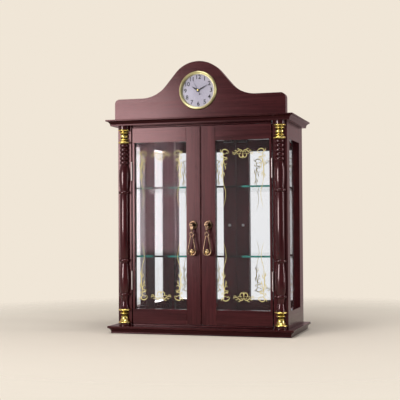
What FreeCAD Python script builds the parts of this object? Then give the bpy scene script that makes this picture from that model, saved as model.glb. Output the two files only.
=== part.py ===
import FreeCAD, Part
import math
import os
import Sketcher

Vector = FreeCAD.Vector
Rotation = FreeCAD.Rotation

doc = FreeCAD.newDocument("WallCurioCabinet")
sheet = doc.addObject("Spreadsheet::Sheet", "Dims")

# Driving dimensions in millimetres. Heights are above the top of the base unless their name says else.
dimensions = {
    # Case
    "case_width": 464,
    "case_depth": 208,
    "case_height": 534,
    "hanger_drop": 34,
    "post_width": 38,
    "post_depth": 31,
    "rear_post_depth": 44,
    "side_rail_thickness": 24,
    "side_rail_height": 44,
    "side_pane_inset": 4.5,
    "pane_thickness": 4,
    "pane_clearance": 0.2,
    "groove_depth": 6,
    "back_recess": 2,
    "back_thickness": 6,
    "mirror_thickness": 3,
    # Top and base boards with their mouldings
    "top_thickness": 16,
    "top_side_overhang": 10,
    "top_front_overhang": 26,
    "cornice_projection": 12,
    "cornice_lip": 4,
    "cornice_cove": 10,
    "base_thickness": 19,
    "base_side_overhang": 10,
    "base_front_overhang": 23,
    "base_projection": 10,
    "base_lip": 5,
    "base_cove": 10.5,
    "moulding_bead": 2,
    # Crest board
    "crest_side_reach": 1,
    "crest_thickness": 24,
    "crest_forward": 20,
    "crest_shoulder": 55.5,
    "crest_peak": 147.5,
    "crest_hump_radius": 80,
    "crest_valley_radius": 86.6,
    "crest_slope": 50,
    "crest_corner": 13,
    # Clock let into the crest
    "clock_rise": 70,
    "clock_bore": 46,
    "housing_clearance": 0.3,
    "housing_wall": 1.2,
    "housing_length": 22,
    "housing_flange": 2.7,
    "flange_thickness": 1,
    "ledge_width": 2.5,
    "ledge_thickness": 1.2,
    "bezel_skirt": 2.3,
    "bezel_height": 6,
    "bezel_shoulder": 2.2,
    "bezel_crown_inset": 3.4,
    "bezel_round": 3.8,
    "bezel_hollow": 5,
    "bezel_lip": 0.6,
    "lens_thickness": 1.9,
    "lens_clearance": 0.3,
    "lens_rise": 4.2,
    "dial_depth": 3,
    "dial_thickness": 0.8,
    "movement_clearance": 2.4,
    "movement_depth": 16,
    "movement_wall": 2,
    "bush_radius": 4,
    "running_clearance": 0.05,
    "end_clearance": 0.4,
    "hour_tube": 2.9,
    "hour_tube_length": 8,
    "minute_tube": 2,
    "minute_tube_length": 11,
    "second_arbor": 1,
    "second_arbor_length": 14,
    "hub_rim": 1.2,
    "hour_hand_reach": 21,
    "hour_hand_half": 2.6,
    "minute_hand_reach": 32,
    "minute_hand_half": 1.7,
    "second_hand_reach": 34,
    "second_hand_half": 0.5,
    "hour_hand_tail": 4,
    "minute_hand_tail": 5,
    "second_hand_tail": 10,
    "hour_angle": -57,
    "minute_angle": 62,
    "second_angle": -25,
    "hand_thickness": 0.5,
    "hand_gap": 0.9,
    "knob_radius": 6,
    "knob_length": 8,
    "knob_arbor": 1.5,
    "knob_arbor_length": 10,
    "knob_gap": 1,
    "knob_drop": 15,
    # Turned columns on the front posts
    "column_forward": 3,
    "column_plinth": 6,
    "column_abacus": 8,
    "column_core": 7,
    "column_core_clearance": 0.1,
    "column_end": 15,
    "column_shaft": 12.6,
    "column_step": 1,
    "column_taper": 3,
    "ring_radius": 13.6,
    "ring_height": 8,
    "ring_bulge": 2.33,
    "lower_ring": 83,
    "middle_ring": 174,
    "upper_vase": 74.5,
    "bead_pitch": 11.5,
    "bead_neck": 9.2,
    "bead_bulge": 3.36,
    "vase_end": 10.8,
    "vase_belly": 14.5,
    "lower_belly_rise": 35,
    "upper_belly_rise": 44,
    "bell_foot": 13.6,
    "bell_neck": 9.2,
    "bell_height": 22,
    "gilt_flange": 15.8,
    "gilt_ring": 14,
    "gilt_neck": 8.8,
    "gilt_lip": 4.5,
    "gilt_lip_round": 3,
    "gilt_step": 4,
    "gilt_hollow": 14,
    "capital_lower_hollow": 6.5,
    "capital_waist": 7,
    "capital_upper_hollow": 7.5,
    "foot_lower_hollow": 14.5,
    "foot_waist": 3,
    "foot_upper_hollow": 4.5,
    # Doors
    "door_gap": 5,
    "meeting_gap": 3,
    "door_thickness": 18,
    "door_pane_setback": 6,
    "stile_width": 38.5,
    "rail_height": 40,
    "hinge_stile_width": 6,
    "hinge_groove": 3,
    # Butt hinges
    "hinge_length": 50,
    "hinge_inset": 116,
    "leaf_width": 12,
    "leaf_thickness": 1.2,
    "leaf_gap": 0.4,
    "leaf_forward": 0.9,
    "knuckle_radius": 2.5,
    "knuckle_sink": 0.2,
    "knuckle_gap": 0.4,
    "hinge_pin": 1.25,
    # Drop pulls
    "pull_height": 268,
    "rosette_radius": 11.5,
    "rosette_rim": 2,
    "rosette_thickness": 4,
    "rosette_rim_width": 3,
    "rosette_round": 2.8,
    "rosette_hollow": 7,
    "stud_radius": 3.5,
    "stud_flare": 1,
    "pull_reach": 14.5,
    "eye_radius": 4.5,
    "eye_width": 3.2,
    "eye_clearance": 0.6,
    "pivot_pin": 1.4,
    "cheek_width": 1.5,
    "cheek_gap": 0.3,
    "strap_depth": 4.5,
    "neck_ball": 3.8,
    "neck_ball_drop": 12.5,
    "knot_drop": 25,
    "knot_radius": 4.9,
    "knot_wire": 1.9,
    "bail_wire": 2,
    "bail_top_half": 3,
    "bail_start": 0.1,
    "bail_drop": 69.5,
    "bail_radius": 10.3,
    "drop_ball": 6.6,
    "ball_stem": 1.5,
    "pull_screw_radius": 2,
    "pull_screw_grip": 5,
    "screw_head_radius": 4.2,
    "screw_head_edge": 0.6,
    "screw_head_rise": 1.8,
    # Magnetic catches
    "catch_width": 28,
    "catch_height": 18,
    "catch_depth": 16,
    "catch_gap": 0.4,
    "strike_thickness": 1.4,
    # Shelves
    "shelf_thickness": 5,
    "lower_shelf_height": 181.5,
    "upper_shelf_height": 366,
    "shelf_side_gap": 1.5,
    "shelf_back_gap": 2,
    "shelf_front_gap": 1.5,
    "shelf_pin_radius": 2.5,
    "shelf_pin_reach": 9,
    "shelf_pin_socket": 10,
    "front_pin_inset": 7,
    "rear_pin_inset": 22,
    # Keyhole hangers in the rear posts
    "hanger_plate_width": 18,
    "hanger_plate_height": 50,
    "hanger_plate_thickness": 2,
    "hanger_inset": 12,
    "keyhole_entry": 4.5,
    "keyhole_slot": 2.25,
    "keyhole_travel": 11,
    "keyhole_head_room": 2.25,
    "keyhole_pocket_depth": 12,
    "hanger_screw_radius": 1.6,
    "hanger_screw_length": 16,
    "hanger_screw_head": 3.2,
    "hanger_screw_spacing": 40,
}
for row, (alias, number) in enumerate(dimensions.items(), start=1):
    sheet.set(f"A{row}", alias)
    sheet.set(f"B{row}", str(number))
    sheet.setAlias(f"B{row}", alias)
doc.recompute()


def size(text):
    # Turns each name in an expression into a reference to its cell.
    words = text.replace("(", " ( ").replace(")", " ) ").split()
    bound = " ".join(f"Dims.{word}" if word in dimensions else word for word in words)
    return bound.replace("cos (", "cos(").replace("sin (", "sin(")


def number_of(text):
    return float(sheet.evalExpression(size(text)))


def up(height):
    # A height above the base as a height above the hanger line.
    return f"( {height} - ( case_height - hanger_drop ) )"


def minus(text):
    return f"-1 * ( {text} )"


def signed(side, text):
    return text if side > 0 else minus(text)


def sided(side, near, far):
    # A span along X on one side of the middle, as its low and high ends.
    return (near, far) if side > 0 else (minus(far), minus(near))


def rounding(run, rise):
    # The radius of an arc that runs square to its rise at one end.
    return f"( ( ( {run} ) ^ 2 + ( {rise} ) ^ 2 ) / ( 2 * ( {rise} ) ) )"


def board(label, xs, ys, zs):
    piece = doc.addObject("Part::Box", label)
    spans = (("Length", "x", xs), ("Width", "y", ys), ("Height", "z", zs))
    for length, axis, (low, high) in spans:
        piece.setExpression(length, size(f"( {high} ) - ( {low} )"))
        piece.setExpression(f"Placement.Base.{axis}", size(low))
    return piece


def place(piece, at, rotation=None):
    if rotation:
        piece.Placement = FreeCAD.Placement(Vector(), rotation)
    for axis, position in zip("xyz", at):
        piece.setExpression(f"Placement.Base.{axis}", size(position))


along_x = Rotation(Vector(0, 1, 0), 90)
along_back = Rotation(Vector(1, 0, 0), -90)
along_front = Rotation(Vector(1, 0, 0), 90)


def rod(label, radius, length, at, rotation=None):
    piece = doc.addObject("Part::Cylinder", label)
    piece.setExpression("Radius", size(radius))
    piece.setExpression("Height", size(length))
    place(piece, at, rotation)
    return piece


def ball(label, radius, at):
    piece = doc.addObject("Part::Sphere", label)
    piece.setExpression("Radius", size(radius))
    place(piece, at)
    return piece


def fused(label, shapes):
    piece = doc.addObject("Part::MultiFuse", label)
    piece.Shapes = shapes
    return piece


def cut(label, base, tools):
    piece = doc.addObject("Part::Cut", label)
    piece.Base = base
    piece.Tool = tools[0] if len(tools) == 1 else fused(f"{label}_tools", tools)
    return piece


def group(label, shapes):
    piece = doc.addObject("Part::Compound", label)
    piece.Links = shapes
    return piece


def arc_centre(start, end, radius, outward):
    # An outline runs anticlockwise, so the centre of an outward arc lies to the left of its chord.
    chord = end - start
    height = math.sqrt(max(radius ** 2 - (chord.Length / 2) ** 2, 0))
    to_right = Vector(chord.y, -chord.x, 0).normalize()
    return (start + end) * 0.5 + to_right * (-height if outward else height)


def bind(sketch, constraint, expression):
    index = sketch.addConstraint(constraint)
    sketch.setExpression(f"Constraints[{index}]", size(expression))


def pin_point(sketch, geometry, end, point, position):
    # Holds one corner of a sketch at its two bound distances from the sketch's origin.
    axes = (("DistanceX", point[0], position.x, -2), ("DistanceY", point[1], position.y, -1))
    for kind, expression, distance, axis in axes:
        if expression == "0":
            sketch.addConstraint(Sketcher.Constraint("PointOnObject", geometry, end, axis))
        else:
            bind(sketch, Sketcher.Constraint(kind, -1, 1, geometry, end, distance), expression)


def sketch_on(body, name, plane):
    sketch = body.newObject("Sketcher::SketchObject", name)
    planes = {item.Role: item for item in body.Origin.OriginFeatures}
    sketch.AttachmentSupport = [(planes[plane], "")]
    sketch.MapMode = "FlatFace"
    return sketch


def outline(body, name, plane, points):
    # A closed anticlockwise outline. A third value makes the way to its point an arc of that radius,
    # which bulges out unless the value starts with "hollow".
    sketch = sketch_on(body, name, plane)
    corners = [Vector(number_of(point[0]), number_of(point[1]), 0) for point in points]
    ends = []
    for index, point in enumerate(points):
        start, end = corners[index - 1], corners[index]
        if len(point) == 2:
            geometry = sketch.addGeometry(Part.LineSegment(start, end))
            ends.append((geometry, 1, 2))
            continue
        outward = not point[2].startswith("hollow")
        radius = point[2].removeprefix("hollow ")
        centre = arc_centre(start, end, number_of(radius), outward)
        first, last = (start, end) if outward else (end, start)
        angles = [math.atan2(spot.y - centre.y, spot.x - centre.x) for spot in (first, last)]
        if angles[1] < angles[0]:
            angles[1] += 2 * math.pi
        circle = Part.Circle(centre, Vector(0, 0, 1), number_of(radius))
        geometry = sketch.addGeometry(Part.ArcOfCircle(circle, *angles))
        ends.append((geometry, 1, 2) if outward else (geometry, 2, 1))
        bind(sketch, Sketcher.Constraint("Radius", geometry, number_of(radius)), radius)
    for index, (geometry, _, last) in enumerate(ends):
        following, first, _ = ends[(index + 1) % len(ends)]
        sketch.addConstraint(Sketcher.Constraint("Coincident", geometry, last, following, first))
        pin_point(sketch, geometry, last, points[index], corners[index])
    return sketch


def turned(label, points, at, rotation=None):
    # Turns an outline of radius and height points about the upright axis of its own frame.
    body = doc.addObject("PartDesign::Body", label)
    sketch = outline(body, f"{label}_outline", "XZ_Plane", points)
    revolution = body.newObject("PartDesign::Revolution", f"{label}_turning")
    revolution.Profile = sketch
    revolution.ReferenceAxis = (sketch, ["V_Axis"])
    revolution.Angle = 360
    place(body, at, rotation)
    return body


def padded(label, plane, points, length, at, rotation=None):
    body = doc.addObject("PartDesign::Body", label)
    sketch = outline(body, f"{label}_outline", plane, points)
    pad = body.newObject("PartDesign::Pad", f"{label}_pad")
    pad.Profile = sketch
    pad.setExpression("Length", size(length))
    place(body, at, rotation)
    return body


# Planes that several pieces share
sides = {"left": -1, "right": 1}
half = "( case_width / 2 )"
front = "( -1 * case_depth )"
opening = f"( {half} - post_width )"
case_inside = f"( {half} - side_rail_thickness )"
case_span = (up("0"), up("case_height"))
top_of_case = up("( case_height + top_thickness )")
side_pane_middle = f"( {case_inside} + side_pane_inset )"
side_pane = (f"{side_pane_middle} - pane_thickness / 2", f"{side_pane_middle} + pane_thickness / 2")
side_groove = (f"{side_pane[0]} - pane_clearance", f"{side_pane[1]} + pane_clearance")
side_groove_span = (up("( side_rail_height - groove_depth )"),
                    up("( case_height - side_rail_height + groove_depth )"))
post_back = f"( {front} + post_depth )"
door_back = f"( {front} + door_thickness )"
rear_post_front = "( -1 * rear_post_depth )"
mirror_back = "( -1 * ( back_recess + back_thickness ) )"
mirror_face = f"( {mirror_back} - mirror_thickness )"
pieces = []


def moulding(label, shape, run, mitres, at, rotation=None):
    # A moulding along +X of its own frame that faces -Y: a lip over a cove and a bead, mitred at its ends.
    thickness, projection, lip, cove = shape
    length = f"( {run} + {sum(mitres)} * {projection} )"
    body = padded(label, "YZ_Plane", [
        ("0", "0"),
        ("0", thickness),
        (minus(projection), thickness),
        (minus(projection), f"{thickness} - {lip}"),
        (minus("moulding_bead"), "moulding_bead", f"hollow {cove}"),
        (minus("moulding_bead"), "0"),
    ], length, at, rotation)
    corners = {
        "low": [("0", "0"), ("0", minus(projection)), (projection, "0")],
        "high": [(length, "0"), (f"{length} - {projection}", "0"), (length, minus(projection))],
    }
    for mitred, (end, corner) in zip(mitres, corners.items()):
        if mitred:
            doc.recompute()
            sketch = outline(body, f"{label}_{end}_mitre_outline", "XY_Plane", corner)
            mitre = body.newObject("PartDesign::Pocket", f"{label}_{end}_mitre")
            mitre.Profile = sketch
            mitre.Type = "ThroughAll"
            mitre.Reversed = True
    return body


def build_boards():
    # Two boards, each edged with a moulding on its front and both sides.
    layers = {
        "cornice": ("top_board", "top", "top_thickness", up("case_height")),
        "base": ("bottom_board", "base", "base_thickness", up("( 0 - base_thickness )")),
    }
    for name, (label, level, thickness, bottom) in layers.items():
        reach = f"( {half} + {level}_side_overhang )"
        depth = f"( case_depth + {level}_front_overhang )"
        projection = f"{name}_projection"
        shape = (thickness, projection, f"{name}_lip", f"{name}_cove")
        pieces.append(board(label, (minus(reach), reach), (minus(depth), "0"),
                            (bottom, f"{bottom} + {thickness}")))
        pieces.append(moulding(f"{name}_front", shape, f"2 * {reach}", (True, True),
                               (f"-1 * {reach} - {projection}", minus(depth), bottom)))
        pieces.append(moulding(f"{name}_left", shape, depth, (False, True),
                               (minus(reach), "0", bottom), Rotation(Vector(0, 0, 1), -90)))
        pieces.append(moulding(f"{name}_right", shape, depth, (True, False),
                               (reach, f"-1 * {depth} - {projection}", bottom),
                               Rotation(Vector(0, 0, 1), 90)))


def build_side(name, side):
    # A front and a rear post joined by two rails, all grooved for the side glass.
    # The rear post is as thick as the rails.
    post_x = sided(side, opening, half)
    frame_x = sided(side, case_inside, half)
    groove_x = sided(side, *side_groove)
    post = board(f"{name}_front_post_blank", post_x, (front, post_back), case_span)
    post_groove = board(f"{name}_front_post_groove", groove_x, (f"{post_back} - groove_depth", post_back),
                        side_groove_span)
    pieces.append(cut(f"{name}_front_post", post, [post_groove] + pin_sockets(name, side, "front")))
    rear = board(f"{name}_rear_post_blank", frame_x, (rear_post_front, "0"), case_span)
    rear_groove = board(f"{name}_rear_post_groove", groove_x,
                        (rear_post_front, f"{rear_post_front} + groove_depth"), side_groove_span)
    rear_tools = [rear_groove] + pin_sockets(name, side, "rear") + hanger_recess(name, side)
    pieces.append(cut(f"{name}_rear_post", rear, rear_tools))
    gap = (post_back, rear_post_front)
    between = board(f"{name}_side_rail_groove", groove_x, gap, side_groove_span)
    low = board(f"{name}_low_rail_blank", frame_x, gap, (up("0"), up("side_rail_height")))
    high = board(f"{name}_high_rail_blank", frame_x, gap,
                 (up("( case_height - side_rail_height )"), up("case_height")))
    rails = [cut(f"{name}_low_rail", low, [between]), cut(f"{name}_high_rail", high, [between])]
    pieces.append(group(f"{name}_side_rails", rails))
    pieces.append(board(f"{name}_side_glass", sided(side, *side_pane),
                        (f"{post_back} - groove_depth + pane_clearance",
                         f"{rear_post_front} + groove_depth - pane_clearance"),
                        (side_groove_span[0], f"{side_groove_span[1]} - pane_clearance")))


pin_rows = ("front", "rear")
shelf_levels = {"lower": "lower_shelf_height", "upper": "upper_shelf_height"}


def shelf_pin(label, side, level, row, clearance):
    # A round pin one radius under its shelf, in the back of a front post or the inner face of a rear post.
    height = up(f"( {level} - shelf_pin_radius )")
    reach = sided(side, f"{case_inside} - shelf_pin_reach", f"{case_inside} + shelf_pin_socket")
    places = {
        "front": (signed(side, f"( {opening} + front_pin_inset )"),
                  f"{post_back} - shelf_pin_socket", height),
        "rear": (reach[0], f"{rear_post_front} + rear_pin_inset", height),
    }
    directions = {"front": along_back, "rear": along_x}
    return rod(label, f"shelf_pin_radius + {clearance}", "shelf_pin_reach + shelf_pin_socket", places[row],
               directions[row])


def pin_sockets(name, side, row):
    return [shelf_pin(f"{name}_{height}_{row}_socket", side, level, row, "running_clearance")
            for height, level in shelf_levels.items()]


def build_shelves():
    reach = f"( {case_inside} - shelf_side_gap )"
    shelf_y = (f"{post_back} + shelf_front_gap", f"{mirror_face} - shelf_back_gap")
    pins = []
    for height, level in shelf_levels.items():
        pieces.append(board(f"{height}_shelf", (minus(reach), reach), shelf_y,
                            (up(level), up(f"( {level} + shelf_thickness )"))))
        for name, side in sides.items():
            pins += [shelf_pin(f"{name}_{height}_{row}_pin", side, level, row, "0") for row in pin_rows]
    pieces.append(group("shelf_pins", pins))


def build_back():
    between = (minus(case_inside), case_inside)
    pieces.append(board("back_panel", between, (mirror_back, "-1 * back_recess"), case_span))
    pieces.append(board("mirror", between, (mirror_face, mirror_back), case_span))


# The keyhole's entry hole is centred on the hanger line, and its slot runs up from there.
keyhole_x = f"( {half} - hanger_inset )"
plate_middle = "( keyhole_travel / 2 )"
screw_rows = {"lower": f"{plate_middle} - hanger_screw_spacing / 2",
              "upper": f"{plate_middle} + hanger_screw_spacing / 2"}


def keyhole(label, side, depth, room):
    x = signed(side, keyhole_x)
    entry = rod(f"{label}_entry", f"keyhole_entry + {room}", depth, (x, "0", "0"), along_front)
    end = rod(f"{label}_end", f"keyhole_slot + {room}", depth, (x, "0", "keyhole_travel"), along_front)
    slot = board(f"{label}_slot", (f"{x} - keyhole_slot - {room}", f"{x} + keyhole_slot + {room}"),
                 (minus(depth), "0"), ("0", "keyhole_travel"))
    return [entry, end, slot]


def hanger_screw(label, side, row, clearance):
    at = (signed(side, keyhole_x), "0", screw_rows[row])
    shank = rod(f"{label}_shank", f"hanger_screw_radius + {clearance}",
                "hanger_screw_length", at, along_front)
    head = doc.addObject("Part::Cone", f"{label}_head")
    head.setExpression("Radius1", size(f"hanger_screw_head + {clearance}"))
    head.setExpression("Radius2", size(f"hanger_screw_radius + {clearance}"))
    head.setExpression("Height", size("hanger_plate_thickness"))
    place(head, at, along_front)
    return fused(label, [shank, head])


def hanger_blank(label, side):
    x = signed(side, keyhole_x)
    return board(label, (f"{x} - hanger_plate_width / 2", f"{x} + hanger_plate_width / 2"),
                 ("-1 * hanger_plate_thickness", "0"),
                 (f"{plate_middle} - hanger_plate_height / 2", f"{plate_middle} + hanger_plate_height / 2"))


def hanger_recess(name, side):
    # A shallow recess for the plate, a pocket for the head of the wall screw, and the screw holes.
    pocket = keyhole(f"{name}_pocket", side, "keyhole_pocket_depth", "keyhole_head_room")
    pilots = [hanger_screw(f"{name}_{row}_pilot", side, row, "running_clearance") for row in screw_rows]
    return [hanger_blank(f"{name}_plate_recess", side)] + pocket + pilots


def build_hangers():
    plates = []
    screws = []
    for name, side in sides.items():
        holes = keyhole(f"{name}_keyhole", side, "hanger_plate_thickness", "0")
        holes += [hanger_screw(f"{name}_{row}_sink", side, row, "running_clearance") for row in screw_rows]
        plates.append(cut(f"{name}_hanger_plate", hanger_blank(f"{name}_plate_blank", side), holes))
        screws += [hanger_screw(f"{name}_{row}_hanger_screw", side, row, "0") for row in screw_rows]
    pieces.append(group("hanger_plates", plates))
    pieces.append(group("hanger_screws", screws))


crest_front = f"( {front} - crest_forward )"


def crest_outline():
    # Each half runs from the square foot up a rounded shoulder, through a hollow and a straight slope to the
    # hump round the clock. The slope's length makes up the height that the two curves leave.
    turn = "( crest_slope * 1deg )"
    rise = "( crest_peak - crest_shoulder )"
    curves = f"( ( crest_hump_radius + crest_valley_radius ) * ( 1 - cos {turn} ) )"
    slope = f"( ( {rise} - {curves} ) / sin {turn} )"
    hump_x = f"( crest_hump_radius * sin {turn} )"
    hump_z = f"( crest_peak - crest_hump_radius * ( 1 - cos {turn} ) )"
    foot_x = f"( {hump_x} + {slope} * cos {turn} )"
    foot_z = f"( {hump_z} - {slope} * sin {turn} )"
    valley_x = f"( {foot_x} + crest_valley_radius * sin {turn} )"
    edge = f"( {half} + crest_side_reach )"
    shoulder_x = f"( {edge} - crest_corner )"
    shoulder_z = "crest_shoulder - crest_corner"
    return [
        (minus(edge), "0"),
        (edge, "0"),
        (edge, shoulder_z),
        (shoulder_x, "crest_shoulder", "crest_corner"),
        (valley_x, "crest_shoulder"),
        (foot_x, foot_z, "hollow crest_valley_radius"),
        (hump_x, hump_z),
        (minus(hump_x), hump_z, "crest_hump_radius"),
        (minus(foot_x), foot_z),
        (minus(valley_x), "crest_shoulder", "hollow crest_valley_radius"),
        (minus(shoulder_x), "crest_shoulder"),
        (minus(edge), shoulder_z, "crest_corner"),
    ]


# The clock's axis. Its levels are distances forward of the crest's front face.
clock_z = f"( {top_of_case} + clock_rise )"
clock_face = ("0", crest_front, clock_z)
housing_radius = "( clock_bore - housing_clearance )"
housing_inside = f"( {housing_radius} - housing_wall )"
ledge_inside = f"( {housing_inside} - ledge_width )"
flange_radius = f"( {housing_radius} + housing_flange )"
dial_back = "( dial_depth + dial_thickness )"
hour_level = "( hand_gap - dial_depth )"
minute_level = f"( {hour_level} + hand_thickness + hand_gap )"
second_level = f"( {minute_level} + hand_thickness + hand_gap )"
movement_front = f"( {crest_front} + {dial_back} )"
movement_back = f"( {movement_front} + movement_depth )"


def build_crest():
    blank = padded("crest_blank", "XZ_Plane", crest_outline(), "crest_thickness",
                   ("0", f"{crest_front} + crest_thickness", top_of_case))
    bore = rod("crest_bore", "clock_bore", "crest_thickness", clock_face, along_back)
    pieces.append(cut("crest_board", blank, [bore]))


def build_clock_case():
    ledge_top = minus(dial_back)
    ledge_low = f"{ledge_top} - ledge_thickness"
    tube_back = minus("housing_length")
    pieces.append(turned("clock_housing", [
        (housing_radius, tube_back),
        (housing_radius, "0"),
        (flange_radius, "0"),
        (flange_radius, "flange_thickness"),
        (housing_inside, "flange_thickness"),
        (housing_inside, ledge_top),
        (ledge_inside, ledge_top),
        (ledge_inside, ledge_low),
        (housing_inside, ledge_low),
        (housing_inside, tube_back),
    ], clock_face, along_front))
    skirt = f"( {flange_radius} + housing_clearance )"
    bezel_edge = f"( {skirt} + bezel_skirt )"
    rim = f"( {housing_inside} - housing_clearance )"
    lens_top = "( flange_thickness + lens_thickness )"
    bezel_seat = f"( {lens_top} + lens_clearance )"
    pieces.append(turned("clock_bezel", [
        (skirt, "0"),
        (bezel_edge, "0"),
        (bezel_edge, "bezel_shoulder"),
        (f"{bezel_edge} - bezel_crown_inset", "bezel_height", "bezel_round"),
        (rim, f"{bezel_seat} + bezel_lip", "hollow bezel_hollow"),
        (rim, bezel_seat),
        (skirt, bezel_seat),
    ], clock_face, along_front))
    lens_edge = f"( {flange_radius} - housing_clearance )"
    dome_edge = f"( {rim} - housing_clearance )"
    dome = rounding(dome_edge, "lens_rise")
    pieces.append(turned("clock_lens", [
        ("0", "flange_thickness + lens_rise"),
        (dome_edge, "flange_thickness", f"hollow {dome}"),
        (lens_edge, "flange_thickness"),
        (lens_edge, lens_top),
        (dome_edge, lens_top),
        ("0", f"{lens_top} + lens_rise", dome),
    ], clock_face, along_front))
    dial_at = ("0", movement_front, clock_z)
    dial = rod("dial_blank", rim, "dial_thickness", dial_at, along_front)
    hole = rod("dial_hole", "bush_radius + running_clearance", "dial_thickness", dial_at, along_front)
    pieces.append(cut("clock_dial", dial, [hole]))


def build_movement():
    # The square case's corners keep clear of the ledge that the dial rests on.
    across = f"( ( {ledge_inside} - movement_clearance ) * cos ( 45deg ) )"
    case = board("movement_case", (minus(across), across), (movement_front, movement_back),
                 (f"{clock_z} - {across}", f"{clock_z} + {across}"))
    bush = rod("movement_bush", "bush_radius", f"{dial_back} + {hour_level} - end_clearance",
               ("0", movement_front, clock_z), along_front)
    bore = rod("movement_bore", "hour_tube + running_clearance",
               f"movement_depth - movement_wall + {dial_back}",
               ("0", f"{movement_back} - movement_wall", clock_z), along_front)
    knob_z = f"{clock_z} - knob_drop"
    socket = rod("knob_socket", "knob_arbor + running_clearance", "movement_depth - movement_wall",
                 ("0", f"{movement_front} + movement_wall", knob_z), along_back)
    pieces.append(cut("clock_movement", fused("movement_solid", [case, bush]), [bore, socket]))
    knob_at = ("0", f"{movement_back} + knob_gap", knob_z)
    grip = rod("knob_grip", "knob_radius", "knob_length", knob_at, along_back)
    arbor = rod("knob_arbor_rod", "knob_arbor", "knob_arbor_length + knob_gap", knob_at, along_front)
    pieces.append(fused("setting_knob", [grip, arbor]))


def hand(name, level, tube, inside):
    # A pointed blade on a hub and a tube. It points up in its own frame and is turned to its angle at rest.
    label = f"{name}_hand"
    reach, half_width, tail, length = f"{label}_reach", f"{label}_half", f"{label}_tail", f"{tube}_length"
    at = ("0", f"{crest_front} - {level}", clock_z)
    turn = Rotation(Vector(0, 1, 0), number_of(f"{name}_angle"))
    blade = padded(f"{label}_blade", "XY_Plane", [
        (minus(f"{half_width} / 2"), minus(tail)),
        (f"{half_width} / 2", minus(tail)),
        (half_width, f"{reach} / 3"),
        ("0", reach),
        (minus(half_width), f"{reach} / 3"),
    ], "hand_thickness", at, turn.multiply(along_front))
    hub = rod(f"{label}_hub", f"{tube} + hub_rim", "hand_thickness", at, along_front)
    stem_at = ("0", f"{crest_front} - {level} + {length}", clock_z)
    stem = rod(f"{label}_stem", tube, length, stem_at, along_front)
    if not inside:
        cap = rod(f"{label}_cap", f"{tube} + hub_rim / 2", "2 * hand_thickness", at, along_front)
        return fused(label, [blade, hub, stem, cap])
    bore = rod(f"{label}_bore", f"{inside} + running_clearance", f"{length} + hand_thickness",
               stem_at, along_front)
    return cut(label, fused(f"{label}_solid", [blade, hub, stem]), [bore])


def build_hands():
    pieces.append(hand("hour", hour_level, "hour_tube", "minute_tube"))
    pieces.append(hand("minute", minute_level, "minute_tube", "second_arbor"))
    pieces.append(hand("second", second_level, "second_arbor", ""))


def gilt_height(name):
    return f"( 2 * ( gilt_lip + gilt_step ) + {name}_lower_hollow + {name}_waist + {name}_upper_hollow )"


# Levels of the turned columns
cap_top = "( case_height - column_abacus )"
cap_bottom = f"( {cap_top} - {gilt_height('capital')} )"
foot_top = f"( column_plinth + {gilt_height('foot')} )"
bell_top = f"( {foot_top} + bell_height )"
bead_count = 5
beads_bottom = f"( {cap_bottom} - {bead_count} * bead_pitch )"
upper_ring = f"( {beads_bottom} - upper_vase )"
step_radius = "( column_shaft - column_step )"


def ring_turning(level):
    # A rounded ring with a square step under and over it.
    low, high = f"{level} - ring_height / 2", f"{level} + ring_height / 2"
    bulge = rounding("ring_height / 2", "ring_bulge")
    return [(step_radius, low), ("ring_radius", low), ("ring_radius", high, bulge), (step_radius, high)]


def vase_turning(low, belly, high):
    # A swelling from the step at its foot to the belly, and a longer curve in to its neck.
    rise = rounding(f"{belly} - {low}", f"vase_belly - {step_radius}")
    fall = rounding(f"{high} - {belly}", "vase_belly - vase_end")
    return [("vase_belly", belly, rise), ("vase_end", high, fall)]


def column_outline():
    bulge = rounding("bead_pitch / 2", "bead_bulge")
    beads = [("bead_neck", f"{beads_bottom} + {bead + 1} * bead_pitch", bulge) for bead in range(bead_count)]
    lower_vase = vase_turning("( lower_ring + ring_height / 2 )", "( lower_ring + lower_belly_rise )",
                              "( middle_ring - ring_height / 2 - column_taper )")
    upper_vase = vase_turning(f"( {upper_ring} + ring_height / 2 )", f"( {upper_ring} + upper_belly_rise )",
                              f"( {beads_bottom} - column_taper )")
    foot = [
        ("0", "0"),
        ("column_end", "0"),
        ("column_end", "column_plinth"),
        ("column_core", "column_plinth"),
        ("column_core", foot_top),
        ("bell_foot", foot_top),
        ("bell_neck", bell_top, f"hollow {rounding('bell_height', 'bell_foot - bell_neck')}"),
    ]
    shaft = [
        ("column_shaft", "middle_ring + ring_height / 2 + column_taper"),
        ("column_shaft", f"{upper_ring} - ring_height / 2 - column_taper"),
    ]
    head = [
        ("column_core", cap_bottom),
        ("column_core", cap_top),
        ("column_end", cap_top),
        ("column_end", "case_height"),
        ("0", "case_height"),
    ]
    return (foot + ring_turning("lower_ring") + lower_vase + ring_turning("middle_ring") + shaft
            + ring_turning(upper_ring) + upper_vase + [("bead_neck", beads_bottom)] + beads + head)


def gilt_outline(name, low):
    # A gilt collar round the column's core: a rounded flange and a ring at each end of a hollow waist.
    high = f"( {low} + {gilt_height(name)} )"
    ring_top = f"( {low} + gilt_lip + gilt_step )"
    ring_bottom = f"( {high} - gilt_lip - gilt_step )"
    inside = "column_core + column_core_clearance"
    return [
        (inside, low),
        ("gilt_flange", low),
        ("gilt_flange", f"{low} + gilt_lip", "gilt_lip_round"),
        ("gilt_ring", f"{low} + gilt_lip"),
        ("gilt_ring", ring_top),
        ("gilt_neck", f"{ring_top} + {name}_lower_hollow", "hollow gilt_hollow"),
        ("gilt_neck", f"{ring_bottom} - {name}_upper_hollow"),
        ("gilt_ring", ring_bottom, "hollow gilt_hollow"),
        ("gilt_ring", f"{high} - gilt_lip"),
        ("gilt_flange", f"{high} - gilt_lip"),
        ("gilt_flange", high, "gilt_lip_round"),
        (inside, high),
    ]


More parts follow.
